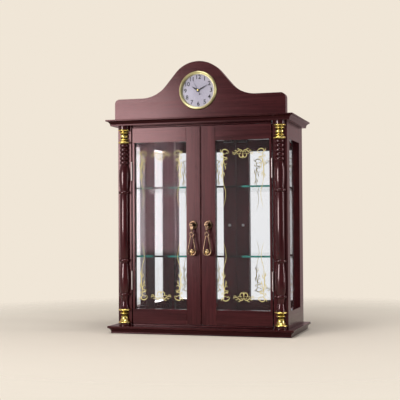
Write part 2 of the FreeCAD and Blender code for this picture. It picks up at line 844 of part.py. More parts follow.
def split_turning(label, side, points):
    # A turning with a flat back, fixed to the face of its post.
    axis = signed(side, f"( {half} - post_width / 2 )")
    blank = turned(f"{label}_turned", points, (axis, f"{front} - column_forward", up("0")))
    behind = board(f"{label}_flat", (f"{axis} - post_width", f"{axis} + post_width"),
                   (front, f"{front} + post_width"), case_span)
    return cut(label, blank, [behind])


def build_columns():
    capitals = []
    feet = []
    for name, side in sides.items():
        pieces.append(split_turning(f"{name}_column", side, column_outline()))
        capitals.append(split_turning(f"{name}_capital", side, gilt_outline("capital", cap_bottom)))
        feet.append(split_turning(f"{name}_foot", side, gilt_outline("foot", "column_plinth")))
    pieces.append(group("column_capitals", capitals))
    pieces.append(group("column_feet", feet))


# Planes of the doors. Both leaves of a closed hinge lie in the gap beside its door.
side_gap = "( 2 * leaf_thickness + leaf_gap )"
door_outer = f"( {opening} - {side_gap} )"
door_inner = "( meeting_gap / 2 )"
stile_edge = f"( {door_inner} + stile_width )"
hinge_stile_edge = f"( {door_outer} - hinge_stile_width )"
door_low = "door_gap"
door_high = "( case_height - door_gap )"
sight_low = f"( {door_low} + rail_height )"
sight_high = f"( {door_high} - rail_height )"
pane_front = f"( {front} + door_pane_setback )"
pane_back = f"( {pane_front} + pane_thickness )"
pull_x = f"( {door_inner} + stile_width / 2 )"
catches = []


def build_door(name, side):
    pane_x = (f"{stile_edge} - groove_depth", f"{hinge_stile_edge} + hinge_groove")
    pane_z = (up(f"( {sight_low} - groove_depth )"), up(f"( {sight_high} + groove_depth )"))
    groove = board(f"{name}_door_groove", sided(side, *pane_x),
                   (f"{pane_front} - pane_clearance", f"{pane_back} + pane_clearance"), pane_z)
    frame = {
        "inner_stile": ((door_inner, stile_edge), (door_low, door_high)),
        "hinge_stile": ((hinge_stile_edge, door_outer), (sight_low, sight_high)),
        "top_rail": ((stile_edge, door_outer), (sight_high, door_high)),
        "bottom_rail": ((stile_edge, door_outer), (door_low, sight_low)),
    }
    for member, (xs, (low, high)) in frame.items():
        label = f"{name}_door_{member}"
        blank = board(f"{label}_blank", sided(side, *xs), (front, door_back), (up(low), up(high)))
        tools = [groove]
        if member == "inner_stile":
            tools.append(rod(f"{label}_hole", "pull_screw_radius + running_clearance", "door_thickness",
                             (signed(side, pull_x), front, up("pull_height")), along_back))
        pieces.append(cut(label, blank, tools))
    glass_x = sided(side, f"{pane_x[0]} + pane_clearance", f"{pane_x[1]} - pane_clearance")
    pieces.append(board(f"{name}_door_glass", glass_x, (pane_front, pane_back),
                        (pane_z[0], f"{pane_z[1]} - pane_clearance")))
    strike_x = sided(side, f"{pull_x} - catch_width / 2", f"{pull_x} + catch_width / 2")
    strike_back = f"( {door_back} + strike_thickness )"
    catch_front = f"( {strike_back} + catch_gap )"
    catch_low = up("( case_height - catch_height )")
    pieces.append(board(f"{name}_strike_plate", strike_x, (door_back, strike_back),
                        (catch_low, up(door_high))))
    catches.append(board(f"{name}_catch", strike_x, (catch_front, f"{catch_front} + catch_depth"),
                         (catch_low, up("case_height"))))


hinge_x = f"( {opening} - {side_gap} / 2 )"
hinge_y = f"( {front} - knuckle_radius + knuckle_sink )"
hinge_levels = {"lower": f"( {door_low} + hinge_inset )", "upper": f"( {door_high} - hinge_inset )"}
knuckle_pitch = "( hinge_length / 3 )"
case_leaves = []
hinge_pins = []


def hinge_leaf(label, side, low, face, knuckles):
    # A flat leaf with its own knuckles, cut back round those of the other leaf and bored for the pin.
    plate = board(f"{label}_plate", sided(side, *face),
                  (f"{front} - leaf_forward", f"{front} + leaf_width"),
                  (up(low), up(f"( {low} + hinge_length )")))
    barrels = []
    rooms = []
    for index in range(3):
        start = f"{low} + {index} * {knuckle_pitch}"
        if index in knuckles:
            barrels.append(rod(f"{label}_knuckle{index}", "knuckle_radius", f"{knuckle_pitch} - knuckle_gap",
                               (signed(side, hinge_x), hinge_y, up(f"( {start} + knuckle_gap / 2 )"))))
        else:
            rooms.append(rod(f"{label}_room{index}", "knuckle_radius + knuckle_gap", knuckle_pitch,
                             (signed(side, hinge_x), hinge_y, up(f"( {start} )"))))
    bore = rod(f"{label}_bore", "hinge_pin + running_clearance", "hinge_length",
               (signed(side, hinge_x), hinge_y, up(low)))
    cleared = cut(f"{label}_cleared", plate, rooms)
    return cut(label, fused(f"{label}_solid", [cleared] + barrels), [bore])


def build_hinges(name, side):
    door_leaves = []
    for position, level in hinge_levels.items():
        low = f"( {level} - hinge_length / 2 )"
        case_leaves.append(hinge_leaf(f"{name}_{position}_case_leaf", side, low,
                                      (f"{opening} - leaf_thickness", opening), (0, 2)))
        door_leaves.append(hinge_leaf(f"{name}_{position}_door_leaf", side, low,
                                      (door_outer, f"{door_outer} + leaf_thickness"), (1,)))
        hinge_pins.append(rod(f"{name}_{position}_hinge_pin", "hinge_pin", "hinge_length",
                              (signed(side, hinge_x), hinge_y, up(low))))
    pieces.append(group(f"{name}_hinge_leaves", door_leaves))


pull_y = f"( {front} - pull_reach )"
pull_z = up("pull_height")
stud_end = "( pull_reach - eye_radius - eye_clearance )"
bail_top = "( knot_drop + knot_radius + bail_start )"


def build_pull(name, side):
    x = signed(side, pull_x)
    face = (x, front, pull_z)
    rosette = turned(f"{name}_rosette", [
        ("0", "0"),
        ("rosette_radius", "0"),
        ("rosette_radius", "rosette_rim"),
        ("rosette_radius - rosette_rim_width", "rosette_thickness", "rosette_round"),
        ("stud_radius + stud_flare", "rosette_rim", "hollow rosette_hollow"),
        ("stud_radius", "rosette_thickness"),
        ("stud_radius", stud_end),
        ("0", stud_end),
    ], face, along_front)
    eye_x = (f"{x} - eye_width / 2", f"{x} + eye_width / 2")
    eye_at = (eye_x[0], pull_y, pull_z)
    eye = rod(f"{name}_eye", "eye_radius", "eye_width", eye_at, along_x)
    tongue = board(f"{name}_tongue", eye_x, (pull_y, f"{front} - {stud_end} + eye_width / 2"),
                   (f"{pull_z} - stud_radius / 2", f"{pull_z} + stud_radius / 2"))
    hole = rod(f"{name}_eye_hole", "pivot_pin + running_clearance", "eye_width", eye_at, along_x)
    thread = rod(f"{name}_thread", "pull_screw_radius + running_clearance", "pull_screw_grip",
                 face, along_front)
    solid = fused(f"{name}_pull_plate_solid", [rosette, eye, tongue])
    pieces.append(cut(f"{name}_pull_plate", solid, [hole, thread]))
    head_at = (x, door_back, pull_z)
    shank = rod(f"{name}_pull_shank", "pull_screw_radius", "door_thickness + pull_screw_grip - end_clearance",
                head_at, along_front)
    head = turned(f"{name}_pull_head", [
        ("0", "0"),
        ("screw_head_radius", "0"),
        ("screw_head_radius", "screw_head_edge"),
        ("0", "screw_head_edge + screw_head_rise", rounding("screw_head_radius", "screw_head_rise")),
    ], head_at, along_back)
    pieces.append(fused(f"{name}_pull_screw", [shank, head]))
    pieces.append(drop_pull(f"{name}_drop_pull", x))


def drop_pull(label, x):
    # The pendant hangs on a pin through the eye: two cheeks, a ball, a ring and a drop-shaped bail.
    cheek = "( eye_width / 2 + cheek_gap )"
    outer = f"( {cheek} + cheek_width )"
    strap_y = (f"{pull_y} - strap_depth / 2", f"{pull_y} + strap_depth / 2")
    ball_z = f"( {pull_z} - neck_ball_drop )"
    knot_z = f"( {pull_z} - knot_drop )"
    shapes = [rod(f"{label}_pin", "pivot_pin", f"2 * {outer}", (f"{x} - {outer}", pull_y, pull_z), along_x)]
    for end, side in sides.items():
        low, high = sided(side, cheek, outer)
        shapes.append(rod(f"{label}_{end}_cheek", "eye_radius", "cheek_width",
                          (f"{x} + {low}", pull_y, pull_z), along_x))
        shapes.append(board(f"{label}_{end}_strap", (f"{x} + {low}", f"{x} + {high}"), strap_y,
                            (ball_z, pull_z)))
    shapes.append(board(f"{label}_yoke", (f"{x} - {outer}", f"{x} + {outer}"), strap_y,
                        (ball_z, f"{pull_z} - eye_radius - eye_clearance")))
    shapes.append(ball(f"{label}_neck_ball", "neck_ball", (x, pull_y, ball_z)))
    shapes.append(rod(f"{label}_neck", "knot_wire", "knot_drop - knot_radius - neck_ball_drop",
                      (x, pull_y, f"{knot_z} + knot_radius")))
    knot = doc.addObject("Part::Torus", f"{label}_knot")
    knot.setExpression("Radius1", size("knot_radius"))
    knot.setExpression("Radius2", size("knot_wire"))
    place(knot, (x, pull_y, knot_z), along_front)
    shapes.append(knot)
    shapes.append(bail(f"{label}_bail", (x, pull_y, pull_z)))
    shapes.append(ball(f"{label}_ball", "drop_ball", (x, pull_y, f"{pull_z} - bail_drop")))
    shapes.append(rod(f"{label}_ball_stem", "ball_stem", "bail_radius",
                      (x, pull_y, f"{pull_z} - bail_drop - bail_radius")))
    return fused(label, shapes)


def bail(label, at):
    # A round wire from the ring down one side, round the bottom and up the other side.
    body = doc.addObject("PartDesign::Body", label)
    top, half_width = number_of(bail_top), number_of("bail_top_half")
    middle, radius = number_of("bail_drop"), number_of("bail_radius")
    reach = math.hypot(half_width, middle - top)
    lean = math.acos(radius / reach) + math.atan2(half_width, middle - top)
    touch = Vector(radius * math.sin(lean), radius * math.cos(lean) - middle, 0)
    angle = math.pi / 2 - lean
    left_top, right_top = Vector(-half_width, -top, 0), Vector(half_width, -top, 0)
    spine = sketch_on(body, f"{label}_spine", "XZ_Plane")
    left = spine.addGeometry(Part.LineSegment(left_top, Vector(-touch.x, touch.y, 0)))
    circle = Part.Circle(Vector(0, -middle, 0), Vector(0, 0, 1), radius)
    bowl = spine.addGeometry(Part.ArcOfCircle(circle, math.pi - angle, 2 * math.pi + angle))
    right = spine.addGeometry(Part.LineSegment(touch, right_top))
    spine.addConstraint(Sketcher.Constraint("Tangent", left, 2, bowl, 1))
    spine.addConstraint(Sketcher.Constraint("Tangent", bowl, 2, right, 1))
    pin_point(spine, left, 1, (minus("bail_top_half"), minus(bail_top)), left_top)
    pin_point(spine, right, 2, ("bail_top_half", minus(bail_top)), right_top)
    pin_point(spine, bowl, 3, ("0", minus("bail_drop")), Vector(0, -middle, 0))
    bind(spine, Sketcher.Constraint("Radius", bowl, radius), "bail_radius")
    section = sketch_on(body, f"{label}_section", "XY_Plane")
    section.setExpression("AttachmentOffset.Base.z", size(minus(bail_top)))
    centre = Vector(-half_width, 0, 0)
    wire = section.addGeometry(Part.Circle(centre, Vector(0, 0, 1), number_of("bail_wire")))
    pin_point(section, wire, 3, (minus("bail_top_half"), "0"), centre)
    bind(section, Sketcher.Constraint("Radius", wire, number_of("bail_wire")), "bail_wire")
    doc.recompute()
    pipe = body.newObject("PartDesign::AdditivePipe", f"{label}_pipe")
    pipe.Profile = section
    pipe.Spine = spine
    place(body, at)
    return body


build_boards()
for name, side in sides.items():
    build_side(name, side)
build_back()
build_shelves()
build_hangers()
build_crest()
build_clock_case()
build_movement()
build_hands()
build_columns()
for name, side in sides.items():
    build_door(name, side)
    build_hinges(name, side)
    build_pull(name, side)
pieces.append(group("door_catches", catches))
pieces.append(group("hinge_case_leaves", case_leaves))
pieces.append(group("hinge_pins", hinge_pins))
doc.recompute()

for item in doc.Objects:
    if "Invalid" in item.State or "Error" in item.State:
        raise RuntimeError(f"{item.Label} did not build: {item.State}")
for piece in pieces:
    if piece.Shape.isNull() or not piece.Shape.isValid():
        raise RuntimeError(f"{piece.Label} has no valid shape")

os.makedirs("parts", exist_ok=True)
for piece in pieces:
    piece.Shape.exportStep(f"parts/{piece.Label}.step")
print(f"wrote {len(pieces)} pieces")
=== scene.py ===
import math

import bmesh
import bpy
from mathutils import Matrix, Vector


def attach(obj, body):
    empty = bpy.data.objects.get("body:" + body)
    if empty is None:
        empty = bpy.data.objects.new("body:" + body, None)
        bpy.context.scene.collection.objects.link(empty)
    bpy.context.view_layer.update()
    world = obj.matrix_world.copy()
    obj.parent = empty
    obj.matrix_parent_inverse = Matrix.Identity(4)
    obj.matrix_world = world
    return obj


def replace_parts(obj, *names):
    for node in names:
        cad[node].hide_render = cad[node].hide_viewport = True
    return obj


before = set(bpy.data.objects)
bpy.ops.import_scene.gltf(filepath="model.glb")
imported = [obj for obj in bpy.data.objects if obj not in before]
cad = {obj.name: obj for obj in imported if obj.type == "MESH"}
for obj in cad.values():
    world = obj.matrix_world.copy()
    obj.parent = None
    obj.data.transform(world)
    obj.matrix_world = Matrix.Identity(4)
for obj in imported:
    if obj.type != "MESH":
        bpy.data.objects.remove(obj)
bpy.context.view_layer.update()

scene = bpy.context.scene
sides = {"left": -1, "right": 1}
perMetre = 1000  # outlines and strokes are in millimetres
samePoint = 1e-6  # points closer than this are one
finePoint = 1e-7  # the same for small print and for cuts
noiseLow, noiseHigh = 0.3, 0.7  # nearly all of a noise lies between these
print("frame loaded,", len(cad), "nodes")


def addNode(tree, kind, sockets=None, **settings):
    node = tree.nodes.new(kind)
    for key, value in settings.items():
        setattr(node, key, value)
    for key, value in (sockets or {}).items():
        node.inputs[key].default_value = value
    return node


def startFinish(name, sockets):
    # plain numbers go straight onto the shader
    finish = bpy.data.materials.new(name)
    finish.use_nodes = True
    shader = finish.node_tree.nodes["Principled BSDF"]
    for key, value in sockets.items():
        shader.inputs[key].default_value = value
    return finish, finish.node_tree, shader


def noiseOn(tree, stretch, detail, distortion=0.0, shift=(0, 0, 0)):
    place = addNode(tree, "ShaderNodeTexCoord")
    mapping = addNode(tree, "ShaderNodeMapping", {"Scale": stretch, "Location": shift})
    noise = addNode(tree, "ShaderNodeTexNoise", {"Scale": 1.0, "Detail": detail, "Distortion": distortion})
    tree.links.new(place.outputs["Object"], mapping.inputs["Vector"])
    tree.links.new(mapping.outputs["Vector"], noise.inputs["Vector"])
    return noise.outputs["Fac"]


def rampOn(tree, value, stops):
    ramp = addNode(tree, "ShaderNodeValToRGB")
    points = ramp.color_ramp.elements
    points[0].position, points[1].position = stops[0][0], stops[-1][0]
    for position, _ in stops[1:-1]:
        points.new(position)
    for point, (_, colour) in zip(points, stops):
        point.color = (*colour, 1)
    tree.links.new(value, ramp.inputs["Fac"])
    return ramp.outputs["Color"]


def grey(level):
    return (level, level, level)


def greyRampOn(tree, value, stops):
    return rampOn(tree, value, [(position, grey(level)) for position, level in stops])


def rangeOn(tree, value, span, newSpan=(0, 1)):
    ends = dict(zip(("From Min", "From Max", "To Min", "To Max"), (*span, *newSpan)))
    spread = addNode(tree, "ShaderNodeMapRange", ends)
    tree.links.new(value, spread.inputs["Value"])
    return spread.outputs["Result"]


# The Mix node's sockets go by number: 0 is the share, 2 and 3 take values, 6 and 7 take colours.
def mixColours(tree, share, first, second, blend="MIX"):
    mix = addNode(tree, "ShaderNodeMix", data_type="RGBA", blend_type=blend)
    for socket, value in ((mix.inputs[0], share), (mix.inputs[6], first), (mix.inputs[7], second)):
        if isinstance(value, bpy.types.NodeSocket):
            tree.links.new(value, socket)
        else:
            socket.default_value = value
    return mix.outputs[2]


def mixValues(tree, share, first, second):
    mix = addNode(tree, "ShaderNodeMix", {0: share})
    tree.links.new(first, mix.inputs[2])
    tree.links.new(second, mix.inputs[3])
    return mix.outputs[0]


def multiply(tree, first, second):
    product = addNode(tree, "ShaderNodeMath", operation="MULTIPLY")
    tree.links.new(first, product.inputs[0])
    tree.links.new(second, product.inputs[1])
    return product.outputs[0]


def roughenBy(tree, shader, noise, roughness):
    spread = rangeOn(tree, noise, (noiseLow, noiseHigh), roughness)
    tree.links.new(spread, shader.inputs["Roughness"])


def bumpOn(tree, shader, height, strength, distance):
    bump = addNode(tree, "ShaderNodeBump", {"Strength": strength, "Distance": distance})
    tree.links.new(height, bump.inputs["Height"])
    tree.links.new(bump.outputs["Normal"], shader.inputs["Normal"])


# Red-brown lacquered wood. Its figure, streaks and pores are stretched along the grain, and the second number
# of each is how fine it is across.
mahogany = {
    "tones": [
        (0.32, (0.020, 0.0019, 0.0027)),
        (0.50, (0.037, 0.0042, 0.0056)),
        (0.68, (0.060, 0.0085, 0.0102)),
    ],
    "figure": (2.2, 34), "figureTwist": 1.4,
    "streak": (7, 300), "streakShare": 0.45,
    "pore": (42, 1500), "poreShades": [(0.30, 0.45), (0.46, 1)], "poreShare": 0.6,
    "shift": (3.1, 1.7, 2.3),  # boards with another grain get another stretch of wood
    "worn": (0.150, 0.0480, 0.0400), "patchScale": 55, "patches": [(0.42, 0), (0.66, 0.6)],
    "bump": (0.12, 0.0004),
    "sheenTint": (1.0, 0.58, 0.60, 1),
}
grainAxis = {"across": 0, "deep": 1, "upright": 2}


def mahoganyFinish(name, grain, gloss, roughness, coat, paintedShadeLevel=1):
    finish, tree, shader = startFinish(name, {
        "Specular IOR Level": gloss,
        "Specular Tint": mahogany["sheenTint"],
        "Coat Weight": coat[0],
        "Coat Roughness": coat[1],
    })
    axis = grainAxis[grain]
    shift = [axis * part for part in mahogany["shift"]]

    def along(pair, detail, twist=0.0):
        stretch = [pair[1]] * 3
        stretch[axis] = pair[0]
        return noiseOn(tree, stretch, detail, twist, shift)

    figure = along(mahogany["figure"], detail=5, twist=mahogany["figureTwist"])
    streak = along(mahogany["streak"], detail=4)
    pore = along(mahogany["pore"], detail=2)
    tone = mixValues(tree, mahogany["streakShare"], figure, streak)
    # the lift scales the wood's tones: below one it paints shade
    stops = [(position, [part * paintedShadeLevel for part in colour]) for position, colour in mahogany["tones"]]
    pores = greyRampOn(tree, pore, mahogany["poreShades"])
    colour = mixColours(tree, 1, rampOn(tree, tone, stops), pores, "MULTIPLY")
    # rubbed edges show a little bare wood, in patches
    edge = addNode(tree, "ShaderNodeAttribute", attribute_name="edgeWear")
    patchy = noiseOn(tree, [mahogany["patchScale"]] * 3, detail=5)
    patches = greyRampOn(tree, patchy, mahogany["patches"])
    rubbed = multiply(tree, edge.outputs["Fac"], patches)
    colour = mixColours(tree, rubbed, colour, (*mahogany["worn"], 1))
    tree.links.new(colour, shader.inputs["Base Color"])
    roughenBy(tree, shader, tone, roughness)
    bumpOn(tree, shader, mixValues(tree, mahogany["poreShare"], streak, pore), *mahogany["bump"])
    return finish


# A coat has a weight and a roughness, and the lift darkens or lightens the wood; below one it is painted
# shade.
satin = {"gloss": 0.26, "roughness": (0.17, 0.25), "coat": (0.06, 0.14)}
polish = {"gloss": 0.26, "roughness": (0.18, 0.24), "coat": (0.45, 0.09)}
# the dull finish is darkened by painted shade, for the rear posts' inner faces
dullShaded = {"gloss": 0.06, "roughness": (0.45, 0.58), "coat": (0.0, 0.2), "paintedShadeLevel": 0.6}
# the plinth finish is the wood darkened by painted shade and a little less glossy, for the cornice and base
# mouldings and the bottom board
shadedPlinth = {"gloss": 0.20, "roughness": (0.20, 0.28), "coat": (0.0, 0.2), "paintedShadeLevel": 0.6}
woodAcross = mahoganyFinish("mahoganyAcross", "across", **satin)
woodDeep = mahoganyFinish("mahoganyDeep", "deep", **satin)
woodUpright = mahoganyFinish("mahoganyUpright", "upright", **satin)
woodTurned = mahoganyFinish("mahoganyTurned", "upright", **polish)
woodRearShaded = mahoganyFinish("mahoganyRearShaded", "upright", **dullShaded)
shadedPlinthAcross = mahoganyFinish("mahoganyShadedPlinthAcross", "across", **shadedPlinth)
shadedPlinthDeep = mahoganyFinish("mahoganyShadedPlinthDeep", "deep", **shadedPlinth)

plywood = {
    "dark": (0.110, 0.062, 0.032), "light": (0.230, 0.145, 0.082),
    "fibre": (260, 260, 9), "cloud": (11, 11, 3), "cloudTwist": 0.8, "cloudShare": 0.5,
    "gloss": 0.25, "roughness": (0.62, 0.82), "bump": (0.2, 0.0003),
}


def backBoardFinish():
    finish, tree, shader = startFinish("backBoard", {"Specular IOR Level": plywood["gloss"]})
    fibre = noiseOn(tree, plywood["fibre"], detail=4)
    cloud = noiseOn(tree, plywood["cloud"], detail=4, distortion=plywood["cloudTwist"])
    tone = mixValues(tree, plywood["cloudShare"], fibre, cloud)
    colour = rampOn(tree, tone, [(noiseLow, plywood["dark"]), (noiseHigh, plywood["light"])])
    tree.links.new(colour, shader.inputs["Base Color"])
    roughenBy(tree, shader, fibre, plywood["roughness"])
    bumpOn(tree, shader, fibre, *plywood["bump"])
    return finish


glass = {"bending": 1.47, "ripple": (9, 9, 5), "bump": (0.05, 0.001)}


def glassFinish(name, tint, glare, absorb=None, clarity=1.0, roughness=0.0):
    # lamps shine straight through it, and where it absorbs, thick edges take up a colour
    finish, tree, shader = startFinish(name, {
        "Base Color": (*tint, 1),
        "Roughness": roughness,
        "IOR": glass["bending"],
        "Specular Tint": (*glare, 1),
        "Transmission Weight": clarity,
    })
    bumpOn(tree, shader, noiseOn(tree, glass["ripple"], detail=2), *glass["bump"])
    output = tree.nodes["Material Output"]
    path = addNode(tree, "ShaderNodeLightPath")
    clear = addNode(tree, "ShaderNodeBsdfTransparent", {"Color": (*tint, 1)})
    surface = shader.outputs[0]
    for ray in ("Is Diffuse Ray", "Is Shadow Ray"):
        either = addNode(tree, "ShaderNodeMixShader")
        tree.links.new(path.outputs[ray], either.inputs[0])
        tree.links.new(surface, either.inputs[1])
        tree.links.new(clear.outputs[0], either.inputs[2])
        surface = either.outputs[0]
    tree.links.new(surface, output.inputs["Surface"])
    if absorb:
        colour, density = absorb
        volume = addNode(tree, "ShaderNodeVolumeAbsorption", {"Color": (*colour, 1), "Density": density})
        tree.links.new(volume.outputs[0], output.inputs["Volume"])
    return finish


silver = {"low": (0.93, 0.95, 0.955), "high": (0.97, 0.98, 0.985), "cloud": (6, 6, 6)}


def mirrorFinish():
    finish, tree, shader = startFinish("silvering", {"Metallic": 1.0, "Roughness": 0.0})
    cloud = noiseOn(tree, silver["cloud"], detail=5)
    colour = rampOn(tree, cloud, [(noiseLow, silver["low"]), (noiseHigh, silver["high"])])
    tree.links.new(colour, shader.inputs["Base Color"])
    return finish


metalGrain = {"twist": 0.4, "fine": 900, "depth": 0.0002}


def metalFinish(name, look):
    # a dark film lies in the hollows, and in the grooves of pieces that carry it as an attribute: partly
    # patina, partly painted shade where creases would fall dark
    finish, tree, shader = startFinish(name, {"Metallic": 1.0})
    hollow = addNode(tree, "ShaderNodeNewGeometry").outputs["Pointiness"]
    groove = addNode(tree, "ShaderNodeAttribute", attribute_name="grooveFilmAndShade")
    cloud = noiseOn(tree, look["stretch"], detail=5, distortion=metalGrain["twist"])
    fine = noiseOn(tree, [metalGrain["fine"]] * 3, detail=2)
    # painted shade and patina: the sharper the hollow, the darker
    filmAndShade = greyRampOn(tree, hollow, [(look["filmAndShade"][0], 1), (look["filmAndShade"][1], 0)])
    tone = rampOn(tree, cloud, [(noiseLow, look["middle"]), (noiseHigh, look["bright"])])
    tone = mixColours(tree, filmAndShade, tone, (*look["dark"], 1))
    tone = mixColours(tree, groove.outputs["Fac"], tone, (*look["dark"], 1))
    tree.links.new(tone, shader.inputs["Base Color"])
    roughenBy(tree, shader, cloud, look["roughness"])
    bumpOn(tree, shader, fine, look["bump"], metalGrain["depth"])
    return finish


gilt = metalFinish("brightGilt", {
    "bright": (0.98, 0.84, 0.32), "middle": (0.86, 0.67, 0.18), "dark": (0.10, 0.070, 0.012),
    "stretch": (70, 70, 70), "filmAndShade": (0.40, 0.49), "roughness": (0.16, 0.30), "bump": 0.06})
paleGilt = metalFinish("paleGilt", {
    "bright": (0.82, 0.77, 0.42), "middle": (0.68, 0.62, 0.30), "dark": (0.32, 0.27, 0.11),
    "stretch": (60, 60, 60), "filmAndShade": (0.38, 0.47), "roughness": (0.32, 0.42), "bump": 0.05})
oldBrass = metalFinish("agedBrass", {
    "bright": (0.32, 0.215, 0.140), "middle": (0.150, 0.092, 0.062), "dark": (0.014, 0.008, 0.007),
    "stretch": (150, 150, 150), "filmAndShade": (0.44, 0.52), "roughness": (0.14, 0.28), "bump": 0.10})
rubbedBrass = metalFinish("rubbedBrass", {
    "bright": (0.86, 0.68, 0.36), "middle": (0.66, 0.48, 0.22), "dark": (0.06, 0.035, 0.015),
    "stretch": (120, 120, 120), "filmAndShade": (0.40, 0.48), "roughness": (0.12, 0.20), "bump": 0.06})
steel = metalFinish("brushedSteel", {
    "bright": (0.50, 0.49, 0.48), "middle": (0.36, 0.35, 0.34), "dark": (0.12, 0.11, 0.10),
    "stretch": (500, 500, 12), "filmAndShade": (0.38, 0.47), "roughness": (0.24, 0.40), "bump": 0.08})
darkSteel = metalFinish("darkenedSteel", {
    "bright": (0.44, 0.39, 0.38), "middle": (0.29, 0.25, 0.24), "dark": (0.07, 0.06, 0.055),
    "stretch": (500, 500, 12), "filmAndShade": (0.38, 0.47), "roughness": (0.30, 0.44), "bump": 0.08})

speckle = {"cloudShare": 0.4, "low": 0.32, "high": 0.68, "depth": 0.0002}


def speckledFinish(name, look):
    finish, tree, shader = startFinish(name, {"Specular IOR Level": look["gloss"]})
    speck = noiseOn(tree, [look["grain"]] * 3, detail=3)
    cloud = noiseOn(tree, [look["cloud"]] * 3, detail=4)
    tone = mixValues(tree, speckle["cloudShare"], speck, cloud)
    colour = rampOn(tree, tone, [(speckle["low"], look["low"]), (speckle["high"], look["high"])])
    tree.links.new(colour, shader.inputs["Base Color"])
    roughenBy(tree, shader, cloud, look["roughness"])
    bumpOn(tree, shader, speck, look["bump"], speckle["depth"])
    return finish


blackPlastic = speckledFinish("blackMoulding", {
    "low": (0.012, 0.012, 0.013), "high": (0.028, 0.028, 0.030), "grain": 1600, "cloud": 60,
    "roughness": (0.40, 0.58), "gloss": 0.4, "bump": 0.20})
dialSilver = speckledFinish("silveredDial", {
    "low": (0.32, 0.31, 0.39), "high": (0.42, 0.405, 0.50), "grain": 700, "cloud": 40,
    "roughness": (0.42, 0.55), "gloss": 0.4, "bump": 0.05})
handBlack = speckledFinish("blackLacquer", {
    "low": (0.010, 0.010, 0.012), "high": (0.030, 0.029, 0.034), "grain": 1500, "cloud": 200,
    "roughness": (0.32, 0.44), "gloss": 0.10, "bump": 0.04})
goldInk = speckledFinish("goldInk", {
    "low": (0.58, 0.48, 0.18), "high": (0.78, 0.68, 0.32), "grain": 900, "cloud": 120,
    "roughness": (0.44, 0.60), "gloss": 0.08, "bump": 0.10})
backBoard = backBoardFinish()
silvering = mirrorFinish()
paneGlass = glassFinish("paneGlass", tint=(0.990, 0.980, 0.984), glare=(0.115, 0.064, 0.078), clarity=0.99)
shelfGlass = glassFinish("shelfGlass", tint=(0.99, 0.995, 0.995), glare=grey(0.25),
                         absorb=((0.26, 0.68, 0.64), 15.0))
lensGlass = glassFinish("lensGlass", tint=grey(0.99), glare=grey(0.02), roughness=0.10)
print("finishes made")


def setFinish(finish, *names):
    for name in names:
        cad[name].data.materials.clear()
        cad[name].data.materials.append(finish)


setFinish(paneGlass, "left_door_glass", "right_door_glass", "left_side_glass", "right_side_glass")
setFinish(shelfGlass, "upper_shelf", "lower_shelf")
setFinish(silvering, "mirror")
setFinish(backBoard, "back_panel")
setFinish(steel, "shelf_pins", "hanger_plates", "hanger_screws", "left_strike_plate", "right_strike_plate",
          "left_pull_screw", "right_pull_screw")
setFinish(darkSteel, "hinge_case_leaves", "hinge_pins", "left_hinge_leaves", "right_hinge_leaves")
setFinish(blackPlastic, "door_catches", "clock_housing", "clock_movement", "setting_knob")
setFinish(dialSilver, "clock_dial")
setFinish(handBlack, "hour_hand", "minute_hand", "second_hand")


def addPiece(name, bm, body, finish):
    mesh = bpy.data.meshes.new(name)
    bm.to_mesh(mesh)
    bm.free()
    mesh.materials.append(finish)
    piece = bpy.data.objects.new(name, mesh)
    scene.collection.objects.link(piece)
    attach(piece, body)
    return piece


def copyNode(nodeName):
    bm = bmesh.new()
    bm.from_mesh(cad[nodeName].data)
    bmesh.ops.remove_doubles(bm, verts=bm.verts, dist=samePoint)
    return bm


def addBox(bm, low, high):
    low, high = Vector(low), Vector(high)
    verts = bmesh.ops.create_cube(bm, size=1)["verts"]
    bmesh.ops.scale(bm, vec=high - low, verts=verts)
    bmesh.ops.translate(bm, vec=(low + high) / 2, verts=verts)
    return verts


def roundOver(bm, edges, width, segments=2, clamp=False):
    return bmesh.ops.bevel(bm, geom=edges, offset=width, offset_type="OFFSET", affect="EDGES",
                           segments=segments, profile=0.5, material=-1, clamp_overlap=clamp)


def shadeSmooth(bm, crease):
    for face in bm.faces:
        face.smooth = True
    for edge in bm.edges:
        edge.smooth = edge.calc_face_angle(0) < math.radians(crease)


# Faces less than the first angle apart are one board face, and edges over the second are arrises.
easing = {"level": 0.5, "crease": 35, "shortest": 0.004}


def easeEdges(nodeName, body, finish, width):
    # a copy of a wooden piece with its arrises rounded over
    bm = copyNode(nodeName)
    level, crease = math.radians(easing["level"]), math.radians(easing["crease"])
    bmesh.ops.dissolve_limit(bm, angle_limit=level, verts=bm.verts, edges=bm.edges)
    arrises = [edge for edge in bm.edges if len(edge.link_faces) == 2
               and edge.calc_face_angle() > crease and edge.calc_length() > easing["shortest"]]
    eased = roundOver(bm, arrises, width, clamp=True)
    bmesh.ops.dissolve_degenerate(bm, dist=2 * samePoint, edges=bm.edges)
    rounds = {face for face in eased["faces"] if face.is_valid}
    wear = bm.loops.layers.float.new("edgeWear")
    for face in bm.faces:
        face.smooth = True
        for loop in face.loops:
            loop[wear] = 1.0 if face in rounds else 0.0
    for edge in bm.edges:
        kinds = {face in rounds for face in edge.link_faces}
        edge.smooth = len(kinds) == 1 and edge.calc_face_angle(0) < crease
    piece = addPiece(f"{nodeName}_eased", bm, body, finish)
    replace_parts(piece, nodeName)
    return piece


castCrease = 32


def smoothCast(nodeName, body, finish):
    # a copy of a cast or pressed piece with its round surfaces shaded smooth
    bm = copyNode(nodeName)
    bmesh.ops.recalc_face_normals(bm, faces=bm.faces)
    shadeSmooth(bm, castCrease)
    piece = addPiece(f"{nodeName}_smooth", bm, body, finish)
    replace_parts(piece, nodeName)


smoothCast("clock_lens", "case", lensGlass)
for nodeName, body in (("pull_plate", "door"), ("drop_pull", "pull")):
    for side in sides:
        smoothCast(f"{side}_{nodeName}", f"{side}_{body}", oldBrass)
print("cast pieces smoothed")


